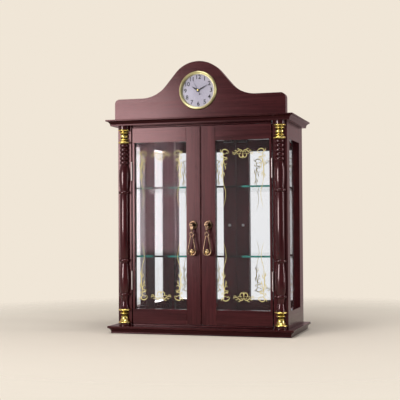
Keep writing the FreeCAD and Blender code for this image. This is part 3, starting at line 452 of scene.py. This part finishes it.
def bowedOutline(points, steps):
    # millimetres to metres; a third number bows the way to that point outwards, or inwards where it is
    # negative, and a fourth above 2 makes the bow fuller
    path = []
    for index, point in enumerate(points):
        if len(point) > 2:
            start, end = Vector(points[index - 1][:2]), Vector(point[:2])
            chord = end - start
            square = Vector((chord.y, -chord.x)).normalized()
            fullness = point[3] if len(point) == 4 else 2
            for step in range(1, steps):
                share = step / steps
                bow = point[2] * (1 - abs(2 * share - 1) ** fullness)
                path.append(start + chord * share + square * bow)
        path.append(Vector(point[:2]))
    return [spot / perMetre for spot in path]


def spinOutline(bm, path, centre, axis, steps, closed):
    # the outline's first number is the radius and its second the height along the axis
    side = Vector((1, 0, 0))
    verts = [bm.verts.new(Vector(centre) + side * radius + Vector(axis) * height) for radius, height in path]
    ends = verts[1:] + verts[:1] if closed else verts[1:]
    edges = [bm.edges.new(pair) for pair in zip(verts, ends)]
    bmesh.ops.spin(bm, geom=verts + edges, cent=centre, axis=axis, angle=math.radians(360), steps=steps,
                   use_merge=True)


def turnPiece(bm, piece, centre, axis, closed=False):
    path = bowedOutline(piece["outline"], piece["bow"])
    spinOutline(bm, path, centre, axis, piece["steps"], closed)


def finishTurning(bm, crease):
    bmesh.ops.remove_doubles(bm, verts=bm.verts, dist=2 * samePoint)
    bmesh.ops.recalc_face_normals(bm, faces=bm.faces)
    shadeSmooth(bm, crease)


# Columns turned in the round and split down the back. Their places are in metres, what is turned is in
# millimetres, and heights are above the base.
column = {
    "across": 0.213, "axis": -0.211, "flat": -0.208, "base": -0.500,
    "steps": 72, "bow": 12, "crease": 30, "fullness": 2.8,
    "rings": (83, 174, 356), "ring": (11.6, 13.6, 4.0, 2.33), "core": 7.0, "end": 15.0,
    "foot": 6, "footTop": 45, "bell": (13.6, 9.2, 67, -1.1), "belly": 14.5, "neck": 10.8,
    "bellies": (118, 400), "necks": (167, 427.5), "bellyBow": (0.73, 0.93), "shaft": (12.6, 181, 349),
    "beads": (9.2, 430.5, 11.5, 3.36, 5), "capTop": 526, "top": 534,
}
gildedTurnings = {
    "column_capitals": {"low": 488, "outline": [
        (7.1, 0), (14.2, 0), (14.2, 5.6, 2.2), (9.2, 6.4), (9.2, 7.8), (11.2, 8.2), (11.2, 12.2, 2.0),
        (8.6, 13.0), (8.6, 15.0), (10.4, 15.8), (10.6, 22.8, 1.0), (8.6, 23.8), (8.6, 25.8), (11.4, 26.4),
        (11.4, 30.6, 2.1), (9.2, 31.4), (9.2, 32.8), (14.2, 33.2), (14.2, 38, 2.2), (7.1, 38)]},
    "column_feet": {"low": 6, "outline": [
        (7.1, 0), (14.2, 0), (14.2, 5.6, 2.2), (12.0, 6.2), (12.0, 7.2), (13.2, 7.6), (9.6, 20.0, -1.6),
        (7.8, 20.8), (7.8, 24.2), (10.0, 24.8), (10.0, 29.4, 2.2), (8.4, 30.2), (8.4, 31.8),
        (12.4, 33.4, -0.5), (14.2, 33.8), (14.2, 39, 2.2), (7.1, 39)]},
}
# a dark film, partly patina and partly painted shade, lies where the gilt turnings are thinner than the first
# radius, and is full at the second
grooveFilmAndShade = (10.0, 8.7)


def columnOutline():
    inner, outer, halfHeight, bulge = column["ring"]
    fullness = column["fullness"]

    def ring(level):
        low, high = level - halfHeight, level + halfHeight
        return [(inner, low), (outer, low), (outer, high, bulge, fullness), (inner, high)]

    def vase(number):
        rise, fall = column["bellyBow"]
        return [(column["belly"], column["bellies"][number], rise),
                (column["neck"], column["necks"][number], fall)]

    foot, neck, bellTop, hollow = column["bell"]
    beadNeck, beadStart, pitch, beadBulge, count = column["beads"]
    shaft, shaftLow, shaftHigh = column["shaft"]
    lower, middle, upper = column["rings"]
    core, end = column["core"], column["end"]
    beads = [(beadNeck, beadStart)]
    for bead in range(1, count + 1):
        beads.append((beadNeck, beadStart + bead * pitch, beadBulge, fullness))
    return [
        (0, 0), (end, 0), (end, column["foot"]), (core, column["foot"]), (core, column["footTop"]),
        (foot, column["footTop"]), (neck, bellTop, hollow),
        *ring(lower), *vase(0), *ring(middle), (shaft, shaftLow), (shaft, shaftHigh), *ring(upper), *vase(1),
        *beads, (core, beadStart + count * pitch), (core, column["capTop"]), (end, column["capTop"]),
        (end, column["top"]), (0, column["top"]),
    ]


def splitTurning(bm, sign, outline, low, closed):
    centre = (sign * column["across"], column["axis"], column["base"] + low / perMetre)
    spinOutline(bm, bowedOutline(outline, column["bow"]), centre, (0, 0, 1), column["steps"], closed)
    bmesh.ops.remove_doubles(bm, verts=bm.verts, dist=2 * samePoint)
    cut = bmesh.ops.bisect_plane(bm, geom=bm.verts[:] + bm.edges[:] + bm.faces[:], dist=finePoint,
                                 plane_co=(0, column["flat"], 0), plane_no=(0, 1, 0), clear_outer=True)
    rim = [item for item in cut["geom_cut"] if isinstance(item, bmesh.types.BMEdge)]
    bmesh.ops.triangle_fill(bm, use_beauty=True, edges=rim, normal=(0, 1, 0))
    finishTurning(bm, column["crease"])


# marks the thin parts of a gilt turning for its dark film of patina and painted shade
def filmGrooves(bm, sign):
    filmAndShade = bm.loops.layers.float.new("grooveFilmAndShade")
    axis = Vector((sign * column["across"], column["axis"]))
    thin, thinnest = grooveFilmAndShade
    for face in bm.faces:
        for loop in face.loops:
            radius = (loop.vert.co.xy - axis).length * perMetre
            loop[filmAndShade] = min(max((thin - radius) / (thin - thinnest), 0), 1)


def turnColumns():
    for side, sign in sides.items():
        bm = bmesh.new()
        splitTurning(bm, sign, columnOutline(), 0, False)
        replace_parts(addPiece(f"{side}_column_turned", bm, "case", woodTurned), f"{side}_column")
    for nodeName, turning in gildedTurnings.items():
        halves = bmesh.new()
        for sign in sides.values():
            bm = bmesh.new()
            splitTurning(bm, sign, turning["outline"], turning["low"], True)
            filmGrooves(bm, sign)
            mesh = bpy.data.meshes.new("turning")
            bm.to_mesh(mesh)
            bm.free()
            halves.from_mesh(mesh)
        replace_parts(addPiece(f"{nodeName}_turned", halves, "case", gilt), nodeName)


clockHeight = 0.120  # the clock's axis, above the origin
# The bezel's outline runs forward from the crest's face, in millimetres.
bezel = {
    "face": -0.228, "steps": 128, "bow": 10, "crease": 40,
    "outline": [(48.7, 0), (51.0, 0), (51.0, 2.2), (47.6, 6.0, 0.9), (44.2, 3.8, -0.35), (44.2, 3.2),
                (48.7, 3.2)],
}


def turnBezel():
    bm = bmesh.new()
    turnPiece(bm, bezel, (0, bezel["face"], clockHeight), (0, -1, 0), closed=True)
    finishTurning(bm, bezel["crease"])
    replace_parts(addPiece("clock_bezel_turned", bm, "case", paleGilt), "clock_bezel")


# The ball at the foot of each pull is rubbed bright. It has a small collar under it.
pullBall = {
    "across": 0.02075, "forward": -0.2225, "height": -0.3015, "steps": 40, "bow": 10, "crease": 40,
    "outline": [(0, -8.0), (2.1, -8.0), (2.5, -7.2, 0.3), (2.1, -6.3), (6.66, 0, 1.26), (0, 6.66, 1.95)],
}


def turnPullBalls():
    for side, sign in sides.items():
        bm = bmesh.new()
        centre = (sign * pullBall["across"], pullBall["forward"], pullBall["height"])
        turnPiece(bm, pullBall, centre, (0, 0, 1))
        finishTurning(bm, pullBall["crease"])
        addPiece(f"{side}_pull_ball", bm, f"{side}_pull", rubbedBrass)


turnColumns()
turnBezel()
turnPullBalls()
print("columns, capitals, feet, bezel and pull balls turned")

# Brads hold the back panel round its edge. Sizes of a head are in millimetres.
brads = {
    "across": 0.199, "low": -0.490, "high": 0.024, "level": -0.002, "columns": 5, "rows": 7,
    "steps": 20, "bow": 6, "crease": 40, "outline": [(0, 0), (2.6, 0), (2.6, 0.2), (0, 0.8, 0.15)],
}


def addBrads():
    across, low, rise = brads["across"], brads["low"], brads["high"] - brads["low"]
    columns = [across * (2 * step / (brads["columns"] - 1) - 1) for step in range(brads["columns"])]
    rows = [low + rise * step / (brads["rows"] - 1) for step in range(brads["rows"])]
    bm = bmesh.new()
    for x in columns:
        for z in rows:
            if x in (columns[0], columns[-1]) or z in (rows[0], rows[-1]):
                turnPiece(bm, brads, (x, brads["level"], z), (0, 1, 0))
    finishTurning(bm, brads["crease"])
    addPiece("back_brads", bm, "case", darkSteel)


# The setting knob has a milled grip on a plain arbor.
knob = {
    "height": 0.105, "arborEnd": -0.2182, "shoulder": -0.2072, "end": -0.1992, "radius": 0.0060,
    "root": 0.0055, "arbor": 0.0015, "teeth": 30, "arborSides": 24, "easing": 0.0004,
}


def millKnob():
    bm = bmesh.new()
    length, radius = knob["end"] - knob["shoulder"], knob["radius"]
    bmesh.ops.create_cone(bm, cap_ends=True, segments=2 * knob["teeth"], radius1=radius, radius2=radius,
                          depth=length)
    halfPitch = math.pi / knob["teeth"]
    roots = [vert for vert in bm.verts if round(math.atan2(vert.co.y, vert.co.x) / halfPitch) % 2]
    shrink = knob["root"] / radius
    bmesh.ops.scale(bm, vec=(shrink, shrink, 1), verts=roots)
    rims = [edge for edge in bm.edges if abs(edge.verts[0].co.z - edge.verts[1].co.z) < length / 2]
    roundOver(bm, rims, knob["easing"])
    bmesh.ops.translate(bm, vec=(0, 0, length / 2), verts=bm.verts)
    reach = knob["shoulder"] - knob["arborEnd"]
    arbor = bmesh.ops.create_cone(bm, cap_ends=True, segments=knob["arborSides"], radius1=knob["arbor"],
                                  radius2=knob["arbor"], depth=reach)["verts"]
    bmesh.ops.translate(bm, vec=(0, 0, -reach / 2), verts=arbor)
    toBack = Matrix.Rotation(math.radians(-90), 3, "X")
    bmesh.ops.rotate(bm, cent=(0, 0, 0), matrix=toBack, verts=bm.verts)
    bmesh.ops.translate(bm, vec=(0, knob["shoulder"], knob["height"]), verts=bm.verts)
    piece = addPiece("setting_knob_milled", bm, "knob_body", blackPlastic)
    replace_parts(piece, "setting_knob")


# The movement's battery door stands a little proud of its back, with ridges for the thumb.
batteryDoor = {
    "halfWidth": 0.0235, "low": 0.1265, "high": 0.1430, "back": -0.2082, "rise": 0.0007, "easing": 0.0004,
    "ridges": (0.0100, 0.0125, 0.0150, 0.0175), "ridgeWidth": 0.0010, "ridgeMargin": 0.0030,
    "ridgeRise": 0.0006, "ridgeEasing": 0.0002,
}


def addBatteryDoor():
    bm = bmesh.new()

    def slab(low, high, easing):
        fresh = addBox(bm, low, high)
        top = [edge for edge in bm.edges
               if all(vert in fresh and vert.co.y > high[1] - samePoint for vert in edge.verts)]
        roundOver(bm, top, easing)

    half, low, high, back = (batteryDoor[key] for key in ("halfWidth", "low", "high", "back"))
    face, margin = back + batteryDoor["rise"], batteryDoor["ridgeMargin"]
    slab((-half, back, low), (half, face, high), batteryDoor["easing"])
    for x in batteryDoor["ridges"]:
        crest = (x + batteryDoor["ridgeWidth"], face + batteryDoor["ridgeRise"], high - margin)
        slab((x, face, low + margin), crest, batteryDoor["ridgeEasing"])
    addPiece("battery_door", bm, "case", blackPlastic)


addBrads()
millKnob()
addBatteryDoor()
print("brads, knob and battery door added")

# Each wooden piece has its finish and the width that its edges are eased by.
caseWood = {
    "top_board": (woodAcross, 0.0008), "bottom_board": (shadedPlinthAcross, 0.0008),
    "crest_board": (woodAcross, 0.0015),
    "cornice_front": (shadedPlinthAcross, 0.0004), "base_front": (shadedPlinthAcross, 0.0004),
    "cornice_left": (shadedPlinthDeep, 0.0004), "cornice_right": (shadedPlinthDeep, 0.0004),
    "base_left": (shadedPlinthDeep, 0.0004), "base_right": (shadedPlinthDeep, 0.0004),
    "left_front_post": (woodUpright, 0.0008), "right_front_post": (woodUpright, 0.0008),
    "left_rear_post": (woodUpright, 0.0008), "right_rear_post": (woodUpright, 0.0008),
    "left_side_rails": (woodDeep, 0.0006), "right_side_rails": (woodDeep, 0.0006),
}
doorWood = {
    "inner_stile": (woodUpright, 0.0007), "hinge_stile": (woodUpright, 0.0005),
    "top_rail": (woodAcross, 0.0006), "bottom_rail": (woodAcross, 0.0006),
}


outerSide = 0.5  # a face that turns outwards by more than this is on the outer side


def dullInside(post, outward):
    # a rear post is polished on its outer side only; its other faces take the dull finish, darkened by
    # painted shade
    post.data.materials.append(woodRearShaded)
    for face in post.data.polygons:
        face.material_index = 0 if face.normal.x * outward > outerSide else 1


for nodeName, (finish, width) in caseWood.items():
    piece = easeEdges(nodeName, "case", finish, width)
    for side, sign in sides.items():
        if nodeName == f"{side}_rear_post":
            dullInside(piece, sign)
for side in sides:
    for member, (finish, width) in doorWood.items():
        easeEdges(f"{side}_door_{member}", f"{side}_door", finish, width)
print("wooden pieces eased")

# Dust strips glued over and under the doors close the gaps that the doors swing in.
dustStrip = {
    "halfLength": 0.190, "front": -0.206, "back": -0.192, "height": 0.0040, "easing": 0.0008, "segments": 3,
    "levels": {"upper": 0.0340, "lower": -0.4960},
}


def addDustStrips():
    half = dustStrip["halfLength"]
    for level, top in dustStrip["levels"].items():
        bm = bmesh.new()
        addBox(bm, (-half, dustStrip["front"], top - dustStrip["height"]), (half, dustStrip["back"], top))
        lengths = [edge for edge in bm.edges if abs(edge.verts[0].co.x - edge.verts[1].co.x) > half]
        roundOver(bm, lengths, dustStrip["easing"], dustStrip["segments"])
        addPiece(f"{level}_dust_strip", bm, "case", woodAcross)


# A bead on the left door's edge covers the line between the doors.
meetingBead = {
    "start": -0.0015, "end": 0.0007, "front": -0.2050, "back": -0.2020, "low": -0.495, "high": 0.029,
    "easing": 0.0008, "segments": 3,
}


def addMeetingBead():
    bm = bmesh.new()
    addBox(bm, [meetingBead[key] for key in ("start", "front", "low")],
           [meetingBead[key] for key in ("end", "back", "high")])
    half = (meetingBead["high"] - meetingBead["low"]) / 2
    nose = [edge for edge in bm.edges if all(vert.co.x > 0 for vert in edge.verts)
            and abs(edge.verts[0].co.z - edge.verts[1].co.z) > half]
    roundOver(bm, nose, meetingBead["easing"], meetingBead["segments"])
    addPiece("left_meeting_bead", bm, "left_door", woodUpright)


addDustStrips()
addMeetingBead()
print("strips and bead added")

# Gold scrollwork printed on the door glass. Each stroke is a list of points (across, along, half width) in
# millimetres. Across is from the line of the stem towards the pane's middle, or from the middle for the
# crown, and along is from the middle to the pane's end. The weight thins every stroke.
scroll = {
    "stemAcross": 52.5,
    "middle": (0.1135, -0.2021, -0.233),
    "thickness": 0.05,
    "weight": 0.62,
    "roundness": 2,
    "steps": 5,
    "stem": [
        [(15.2, 187.5, 0.5), (13.0, 193.0, 1.3), (8.2, 197.0, 1.9), (3.2, 198.2, 2.1), (-1.6, 196.6, 2.0),
         (-3.4, 193.0, 1.8), (-2.0, 189.0, 1.5), (1.0, 186.8, 1.2)],
        [(9.6, 179.0, 0.5), (6.6, 176.8, 1.5), (1.6, 178.2, 1.9), (-1.4, 182.6, 1.8), (1.6, 186.2, 1.3),
         (5.4, 185.2, 0.7)],
        [(9.2, 169.4, 0.5), (5.0, 172.2, 1.4), (0.8, 168.6, 1.6), (1.4, 162.6, 1.6), (5.6, 158.6, 1.3),
         (9.4, 162.0, 0.5)],
        [(0.2, 177.0, 1.2), (-1.6, 162.7, 1.8), (-3.0, 145.0, 2.1), (-1.8, 127.5, 1.5), (-1.0, 114.0, 1.0),
         (2.3, 99.0, 0.9), (5.2, 88.0, 0.95), (4.4, 70.0, 0.8), (1.6, 55.0, 0.7), (-1.8, 45.0, 0.25)],
        [(-2.6, 150.0, 0.4), (-6.4, 159.0, 2.0), (-5.2, 169.0, 0.4)],
        [(0.6, 105.0, 0.3), (3.4, 96.0, 1.5), (5.4, 89.0, 0.4)],
        [(-3.0, 190.0, 0.4), (-7.0, 193.6, 2.0), (-8.2, 199.0, 0.4)],
        [(5.4, 186.6, 0.4), (9.4, 188.6, 2.0), (12.4, 186.0, 0.4)],
        [(3.6, 175.4, 0.4), (8.4, 175.0, 2.2), (11.4, 172.0, 0.4)],
        [(-1.6, 176.0, 0.4), (-5.4, 178.6, 2.1), (-6.8, 183.6, 0.4)],
        [(1.6, 158.0, 0.4), (5.0, 151.6, 2.3), (4.4, 144.4, 0.4)],
        [(-1.6, 141.0, 0.4), (1.8, 134.4, 2.0), (1.6, 127.0, 0.3)],
        [(-2.4, 136.0, 0.4), (-5.6, 129.6, 2.0), (-4.8, 122.0, 0.3)],
    ],
    "crown": [
        [(28.4, 188.6, 0.4), (24.5, 188.8, 0.9), (19.6, 188.4, 1.2), (13.2, 192.4, 1.6), (8.4, 195.8, 1.9),
         (3.6, 194.8, 1.7), (0.8, 189.4, 1.0)],
        [(0.6, 188.0, 0.8), (0.8, 180.2, 1.3), (4.7, 176.3, 1.7), (8.9, 179.0, 1.7), (10.1, 184.0, 1.4),
         (7.0, 187.2, 1.0), (4.2, 184.6, 0.6)],
        [(28.8, 192.6, 0.4), (26.2, 188.8, 0.9), (27.4, 184.6, 0.4)],
        [(0.0, 184.0, 0.4), (0.4, 178.0, 1.2), (0.0, 172.5, 0.4)],
        [(15.6, 191.2, 0.4), (19.4, 194.6, 1.8), (23.6, 193.6, 0.3)],
        [(19.8, 188.2, 0.4), (22.6, 184.8, 1.6), (26.6, 184.4, 0.3)],
        [(8.8, 196.2, 0.4), (12.2, 199.2, 1.8), (16.2, 198.0, 0.3)],
        [(3.4, 191.0, 0.4), (6.4, 191.6, 1.5), (8.8, 189.6, 0.3)],
        [(11.0, 185.6, 0.4), (14.2, 186.6, 1.5), (16.6, 184.6, 0.3)],
    ],
}


def meshFrom(name, curve):
    # the curve's shape as a mesh
    holder = bpy.data.objects.new(name, curve)
    scene.collection.objects.link(holder)
    mesh = bpy.data.meshes.new_from_object(holder.evaluated_get(bpy.context.evaluated_depsgraph_get()))
    bpy.data.objects.remove(holder)
    return mesh


def strokeMesh(name, strokes, shift):
    # each stroke is a swelling line, pressed flat
    line = bpy.data.curves.new(name, "CURVE")
    line.dimensions = "3D"
    line.bevel_depth = 1 / perMetre
    line.bevel_resolution = scroll["roundness"]
    line.resolution_u = scroll["steps"]
    line.use_fill_caps = True
    for stroke in strokes:
        spline = line.splines.new("BEZIER")
        spline.bezier_points.add(len(stroke) - 1)
        for point, (across, along, halfWidth) in zip(spline.bezier_points, stroke):
            point.co = ((across + shift) / perMetre, 0, along / perMetre)
            point.radius = halfWidth * scroll["weight"]
            point.handle_left_type = point.handle_right_type = "AUTO"
    bm = bmesh.new()
    bm.from_mesh(meshFrom(name, line))
    bmesh.ops.remove_doubles(bm, verts=bm.verts, dist=samePoint)
    bmesh.ops.scale(bm, vec=(1, scroll["thickness"], 1), verts=bm.verts)
    mesh = bpy.data.meshes.new(name)
    bm.to_mesh(mesh)
    bm.free()
    return mesh


def printScroll(side, sign):
    bm = bmesh.new()
    for name, shift in (("stem", -scroll["stemAcross"]), ("crown", 0)):
        mesh = strokeMesh(f"{name}Strokes", scroll[name], shift)
        for flipX in (1, -1):
            for flipZ in (1, -1):
                before = set(bm.verts)
                bm.from_mesh(mesh)
                fresh = [vert for vert in bm.verts if vert not in before]
                bmesh.ops.scale(bm, vec=(flipX, 1, flipZ), verts=fresh)
    middle = Vector(scroll["middle"])
    bmesh.ops.translate(bm, vec=(sign * middle.x, middle.y, middle.z), verts=bm.verts)
    bmesh.ops.recalc_face_normals(bm, faces=bm.faces)
    for face in bm.faces:
        face.smooth = True
    addPiece(f"{side}_glass_scroll", bm, f"{side}_door", goldInk)


for side, sign in sides.items():
    printScroll(side, sign)
print("scrollwork printed on both panes")

# Numerals and minute marks on the dial, set out from the clock's axis.
dial = {
    "face": -0.2250, "thickness": 0.00006,
    "numeralRing": 0.0350, "numeralSize": 0.01539, "boldness": 0.00034, "curveSteps": 4,
    "trackOut": 0.0432, "trackIn": 0.0420, "hourTrackIn": 0.0412,
    "markWidth": 0.00025, "hourMarkWidth": 0.0005,
}


def addNumerals(bm):
    ring, level = dial["numeralRing"], dial["face"] - dial["thickness"] / 2
    upright = Matrix.Rotation(math.radians(90), 4, "X")
    for hour in range(1, 13):
        words = bpy.data.curves.new("numeral", "FONT")
        words.body = str(hour)
        words.align_x = "CENTER"
        words.align_y = "CENTER"
        words.size = dial["numeralSize"]
        words.extrude = dial["thickness"] / 2
        words.offset = dial["boldness"]
        words.resolution_u = dial["curveSteps"]
        mesh = meshFrom("numeral", words)
        angle = math.radians(hour * 360 / 12)
        place = Vector((math.sin(angle) * ring, level, clockHeight + math.cos(angle) * ring))
        mesh.transform(Matrix.Translation(place) @ upright)
        bm.from_mesh(mesh)
    bmesh.ops.remove_doubles(bm, verts=bm.verts, dist=finePoint)


def addMinuteMarks(bm):
    face, back = dial["face"] - dial["thickness"], dial["face"]
    for minute in range(60):
        major = minute % 5 == 0
        inner = dial["hourTrackIn"] if major else dial["trackIn"]
        half = (dial["hourMarkWidth"] if major else dial["markWidth"]) / 2
        mark = addBox(bm, (-half, face, inner), (half, back, dial["trackOut"]))
        turn = Matrix.Rotation(math.radians(minute * 360 / 60), 3, "Y")
        bmesh.ops.rotate(bm, cent=(0, 0, 0), matrix=turn, verts=mark)
        bmesh.ops.translate(bm, vec=(0, 0, clockHeight), verts=mark)


def markDial():
    bm = bmesh.new()
    addNumerals(bm)
    addMinuteMarks(bm)
    addPiece("dial_marks", bm, "case", handBlack)


# A small domed cap covers the arbor of the second hand.
handCap = {"radius": 0.0023, "base": -0.2297, "foot": 0.0006, "rise": 0.0012, "domeSteps": 8, "steps": 32}


def addHandCap():
    radius, foot, rise = handCap["radius"], handCap["foot"], handCap["rise"]
    path = [(radius, 0), (radius, foot)]
    for step in range(1, handCap["domeSteps"] + 1):
        turn = math.radians(90 * step / handCap["domeSteps"])
        path.append((radius * math.cos(turn), foot + rise * math.sin(turn)))
    bm = bmesh.new()
    spinOutline(bm, path, (0, handCap["base"], clockHeight), (0, -1, 0), handCap["steps"], False)
    bmesh.ops.remove_doubles(bm, verts=bm.verts, dist=samePoint)
    bmesh.ops.holes_fill(bm, edges=[edge for edge in bm.edges if edge.is_boundary])
    bmesh.ops.recalc_face_normals(bm, faces=bm.faces)
    for face in bm.faces:
        face.smooth = len(face.verts) <= 4  # the filled base stays flat
    addPiece("hand_cap", bm, "second_hand_body", gilt)


# The second hand's tail ends in a small disc that balances it. Its outline is in millimetres.
tailDisc = {
    "away": 0.0114, "bearing": 155, "back": -0.2287, "steps": 32, "bow": 1, "crease": 40,
    "outline": [(0, 0), (1.55, 0), (1.75, 0.12), (1.75, 0.38), (1.55, 0.5), (0, 0.5)],
}


def addTailDisc():
    bm = bmesh.new()
    bearing, away = math.radians(tailDisc["bearing"]), tailDisc["away"]
    centre = (math.sin(bearing) * away, tailDisc["back"], clockHeight + math.cos(bearing) * away)
    turnPiece(bm, tailDisc, centre, (0, -1, 0))
    finishTurning(bm, tailDisc["crease"])
    addPiece("second_hand_disc", bm, "second_hand_body", handBlack)


# A gilt ring slopes from the bezel down to the dial.
dialRing = {
    "outer": 0.0441, "frontInner": 0.0438, "dialInner": 0.0430, "front": -0.2288, "dial": -0.2251,
    "steps": 96, "crease": 30,
}


def addDialRing():
    bm = bmesh.new()
    outer, front, back = dialRing["outer"], dialRing["front"], dialRing["dial"]
    path = [(outer, back), (outer, front), (dialRing["frontInner"], front), (dialRing["dialInner"], back)]
    spinOutline(bm, path, (0, 0, clockHeight), (0, 1, 0), dialRing["steps"], True)
    finishTurning(bm, dialRing["crease"])
    addPiece("dial_ring", bm, "case", paleGilt)


markDial()
addHandCap()
addTailDisc()
addDialRing()
print("dial marked")

# Camera where the photograph was taken from
shot = {
    "place": (0.7254, -2.6510, -0.2436), "yaw": 16.581, "pitch": 1.729, "roll": -0.325,
    "lens": 87.22, "sensor": 36,
}
cameraData = bpy.data.cameras.new("shot")
cameraData.sensor_width = shot["sensor"]
cameraData.lens = shot["lens"]
camera = bpy.data.objects.new("shot", cameraData)
scene.collection.objects.link(camera)
camera.matrix_world = (Matrix.Translation(shot["place"])
                       @ Matrix.Rotation(math.radians(shot["yaw"]), 4, "Z")
                       @ Matrix.Rotation(math.radians(90 + shot["pitch"]), 4, "X")
                       @ Matrix.Rotation(math.radians(shot["roll"]), 4, "Z"))
scene.camera = camera

# Lamps face the middle of the cabinet: a window to the left, a strip to the right and one overhead.
middleOfCabinet = Vector((0, -0.15, -0.13))
lamps = {
    "window": {"bearing": -27.5, "rise": 4.6, "away": 2.5, "size": (0.78, 0.86), "power": 42,
               "colour": (1.0, 0.95, 0.94)},
    "strip": {"bearing": 88, "rise": 8, "away": 2.2, "size": (0.25, 1.3), "power": 17,
              "colour": (1.0, 0.97, 0.97)},
    "overhead": {"bearing": 10, "rise": 70, "away": 2.4, "size": (1.2, 1.2), "power": 24,
                 "colour": (1.0, 0.98, 0.96)},
}
for name, lamp in lamps.items():
    data = bpy.data.lights.new(name, "AREA")
    data.shape = "RECTANGLE"
    data.size, data.size_y = lamp["size"]
    data.energy = lamp["power"]
    data.color = lamp["colour"]
    light = bpy.data.objects.new(name, data)
    bearing, rise = math.radians(lamp["bearing"]), math.radians(lamp["rise"])
    flat = math.cos(rise)
    away = Vector((math.sin(bearing) * flat, -math.cos(bearing) * flat, math.sin(rise)))
    light.location = middleOfCabinet + away * lamp["away"]
    light.rotation_euler = away.to_track_quat("Z", "Y").to_euler()
    light.visible_transmission = False
    scene.collection.objects.link(light)

# The room. Polished surfaces see it lighter to the left and behind than to the right.
room = {
    "backdrop": (0.871, 0.791, 0.680, 1), "throughGlass": (0.88, 0.885, 0.89, 1),
    "fill": (1.0, 0.985, 0.97, 1), "fillStrength": 0.28,
    "glossLeft": (0.46, 0.44, 0.44), "glossRight": (0.17, 0.155, 0.155), "leftToRight": (-0.20, 0.05),
    "glossBehind": (0.50, 0.36, 0.36, 1), "frontToBehind": (-0.3, 0.3),
}


def paintRoom():
    world = bpy.data.worlds.new("studio")
    scene.world = world
    world.use_nodes = True
    tree = world.node_tree
    tree.nodes.clear()
    path = addNode(tree, "ShaderNodeLightPath")
    heading = addNode(tree, "ShaderNodeSeparateXYZ")
    tree.links.new(addNode(tree, "ShaderNodeTexCoord").outputs["Generated"], heading.inputs[0])
    across = rangeOn(tree, heading.outputs["X"], room["leftToRight"])
    front = rampOn(tree, across, [(0, room["glossLeft"]), (1, room["glossRight"])])
    behind = rangeOn(tree, heading.outputs["Y"], room["frontToBehind"])
    seen = {
        "Is Glossy Ray": addNode(tree, "ShaderNodeBackground"),
        "Is Transmission Ray": addNode(tree, "ShaderNodeBackground", {"Color": room["throughGlass"]}),
        "Is Camera Ray": addNode(tree, "ShaderNodeBackground", {"Color": room["backdrop"]}),
    }
    gloss = mixColours(tree, behind, front, room["glossBehind"])
    tree.links.new(gloss, seen["Is Glossy Ray"].inputs["Color"])
    fill = {"Color": room["fill"], "Strength": room["fillStrength"]}
    sky = addNode(tree, "ShaderNodeBackground", fill).outputs[0]
    for ray, background in seen.items():
        choose = addNode(tree, "ShaderNodeMixShader")
        tree.links.new(path.outputs[ray], choose.inputs[0])
        tree.links.new(sky, choose.inputs[1])
        tree.links.new(background.outputs[0], choose.inputs[2])
        sky = choose.outputs[0]
    tree.links.new(sky, addNode(tree, "ShaderNodeOutputWorld").inputs["Surface"])


# A pale floor that thins out to nothing at its rim
paleFloor = {
    "level": -0.5195, "radius": 1.3, "corners": 96, "colour": (0.90, 0.82, 0.71), "shade": 0.98, "cloud": 3,
    "gloss": 0.1, "roughness": 0.9, "fade": (0.02, 0.72),
}


def floorFinish():
    finish, tree, shader = startFinish("paleFloor", {
        "Specular IOR Level": paleFloor["gloss"],
        "Roughness": paleFloor["roughness"],
    })
    colour = paleFloor["colour"]
    shaded = [part * paleFloor["shade"] for part in colour]
    cloud = noiseOn(tree, [paleFloor["cloud"]] * 3, detail=3)
    cloudy = rampOn(tree, cloud, [(noiseLow, shaded), (noiseHigh, colour)])
    tree.links.new(cloudy, shader.inputs["Base Color"])
    span = 1 / paleFloor["radius"]
    place = {"Scale": [span] * 3, "Location": (0, 0, -paleFloor["level"] * span)}
    mapping = addNode(tree, "ShaderNodeMapping", place)
    fade = addNode(tree, "ShaderNodeTexGradient", gradient_type="SPHERICAL")
    tree.links.new(addNode(tree, "ShaderNodeTexCoord").outputs["Object"], mapping.inputs["Vector"])
    tree.links.new(mapping.outputs["Vector"], fade.inputs["Vector"])
    tree.links.new(rangeOn(tree, fade.outputs["Fac"], paleFloor["fade"]), shader.inputs["Alpha"])
    return finish


def layFloor():
    bm = bmesh.new()
    bmesh.ops.create_circle(bm, cap_ends=True, radius=paleFloor["radius"], segments=paleFloor["corners"])
    bmesh.ops.translate(bm, vec=(0, 0, paleFloor["level"]), verts=bm.verts)
    mesh = bpy.data.meshes.new("floor")
    bm.to_mesh(mesh)
    bm.free()
    mesh.materials.append(floorFinish())
    floor = bpy.data.objects.new("floor", mesh)
    scene.collection.objects.link(floor)


paintRoom()
layFloor()
scene.view_settings.view_transform = "Standard"
print("studio lit")
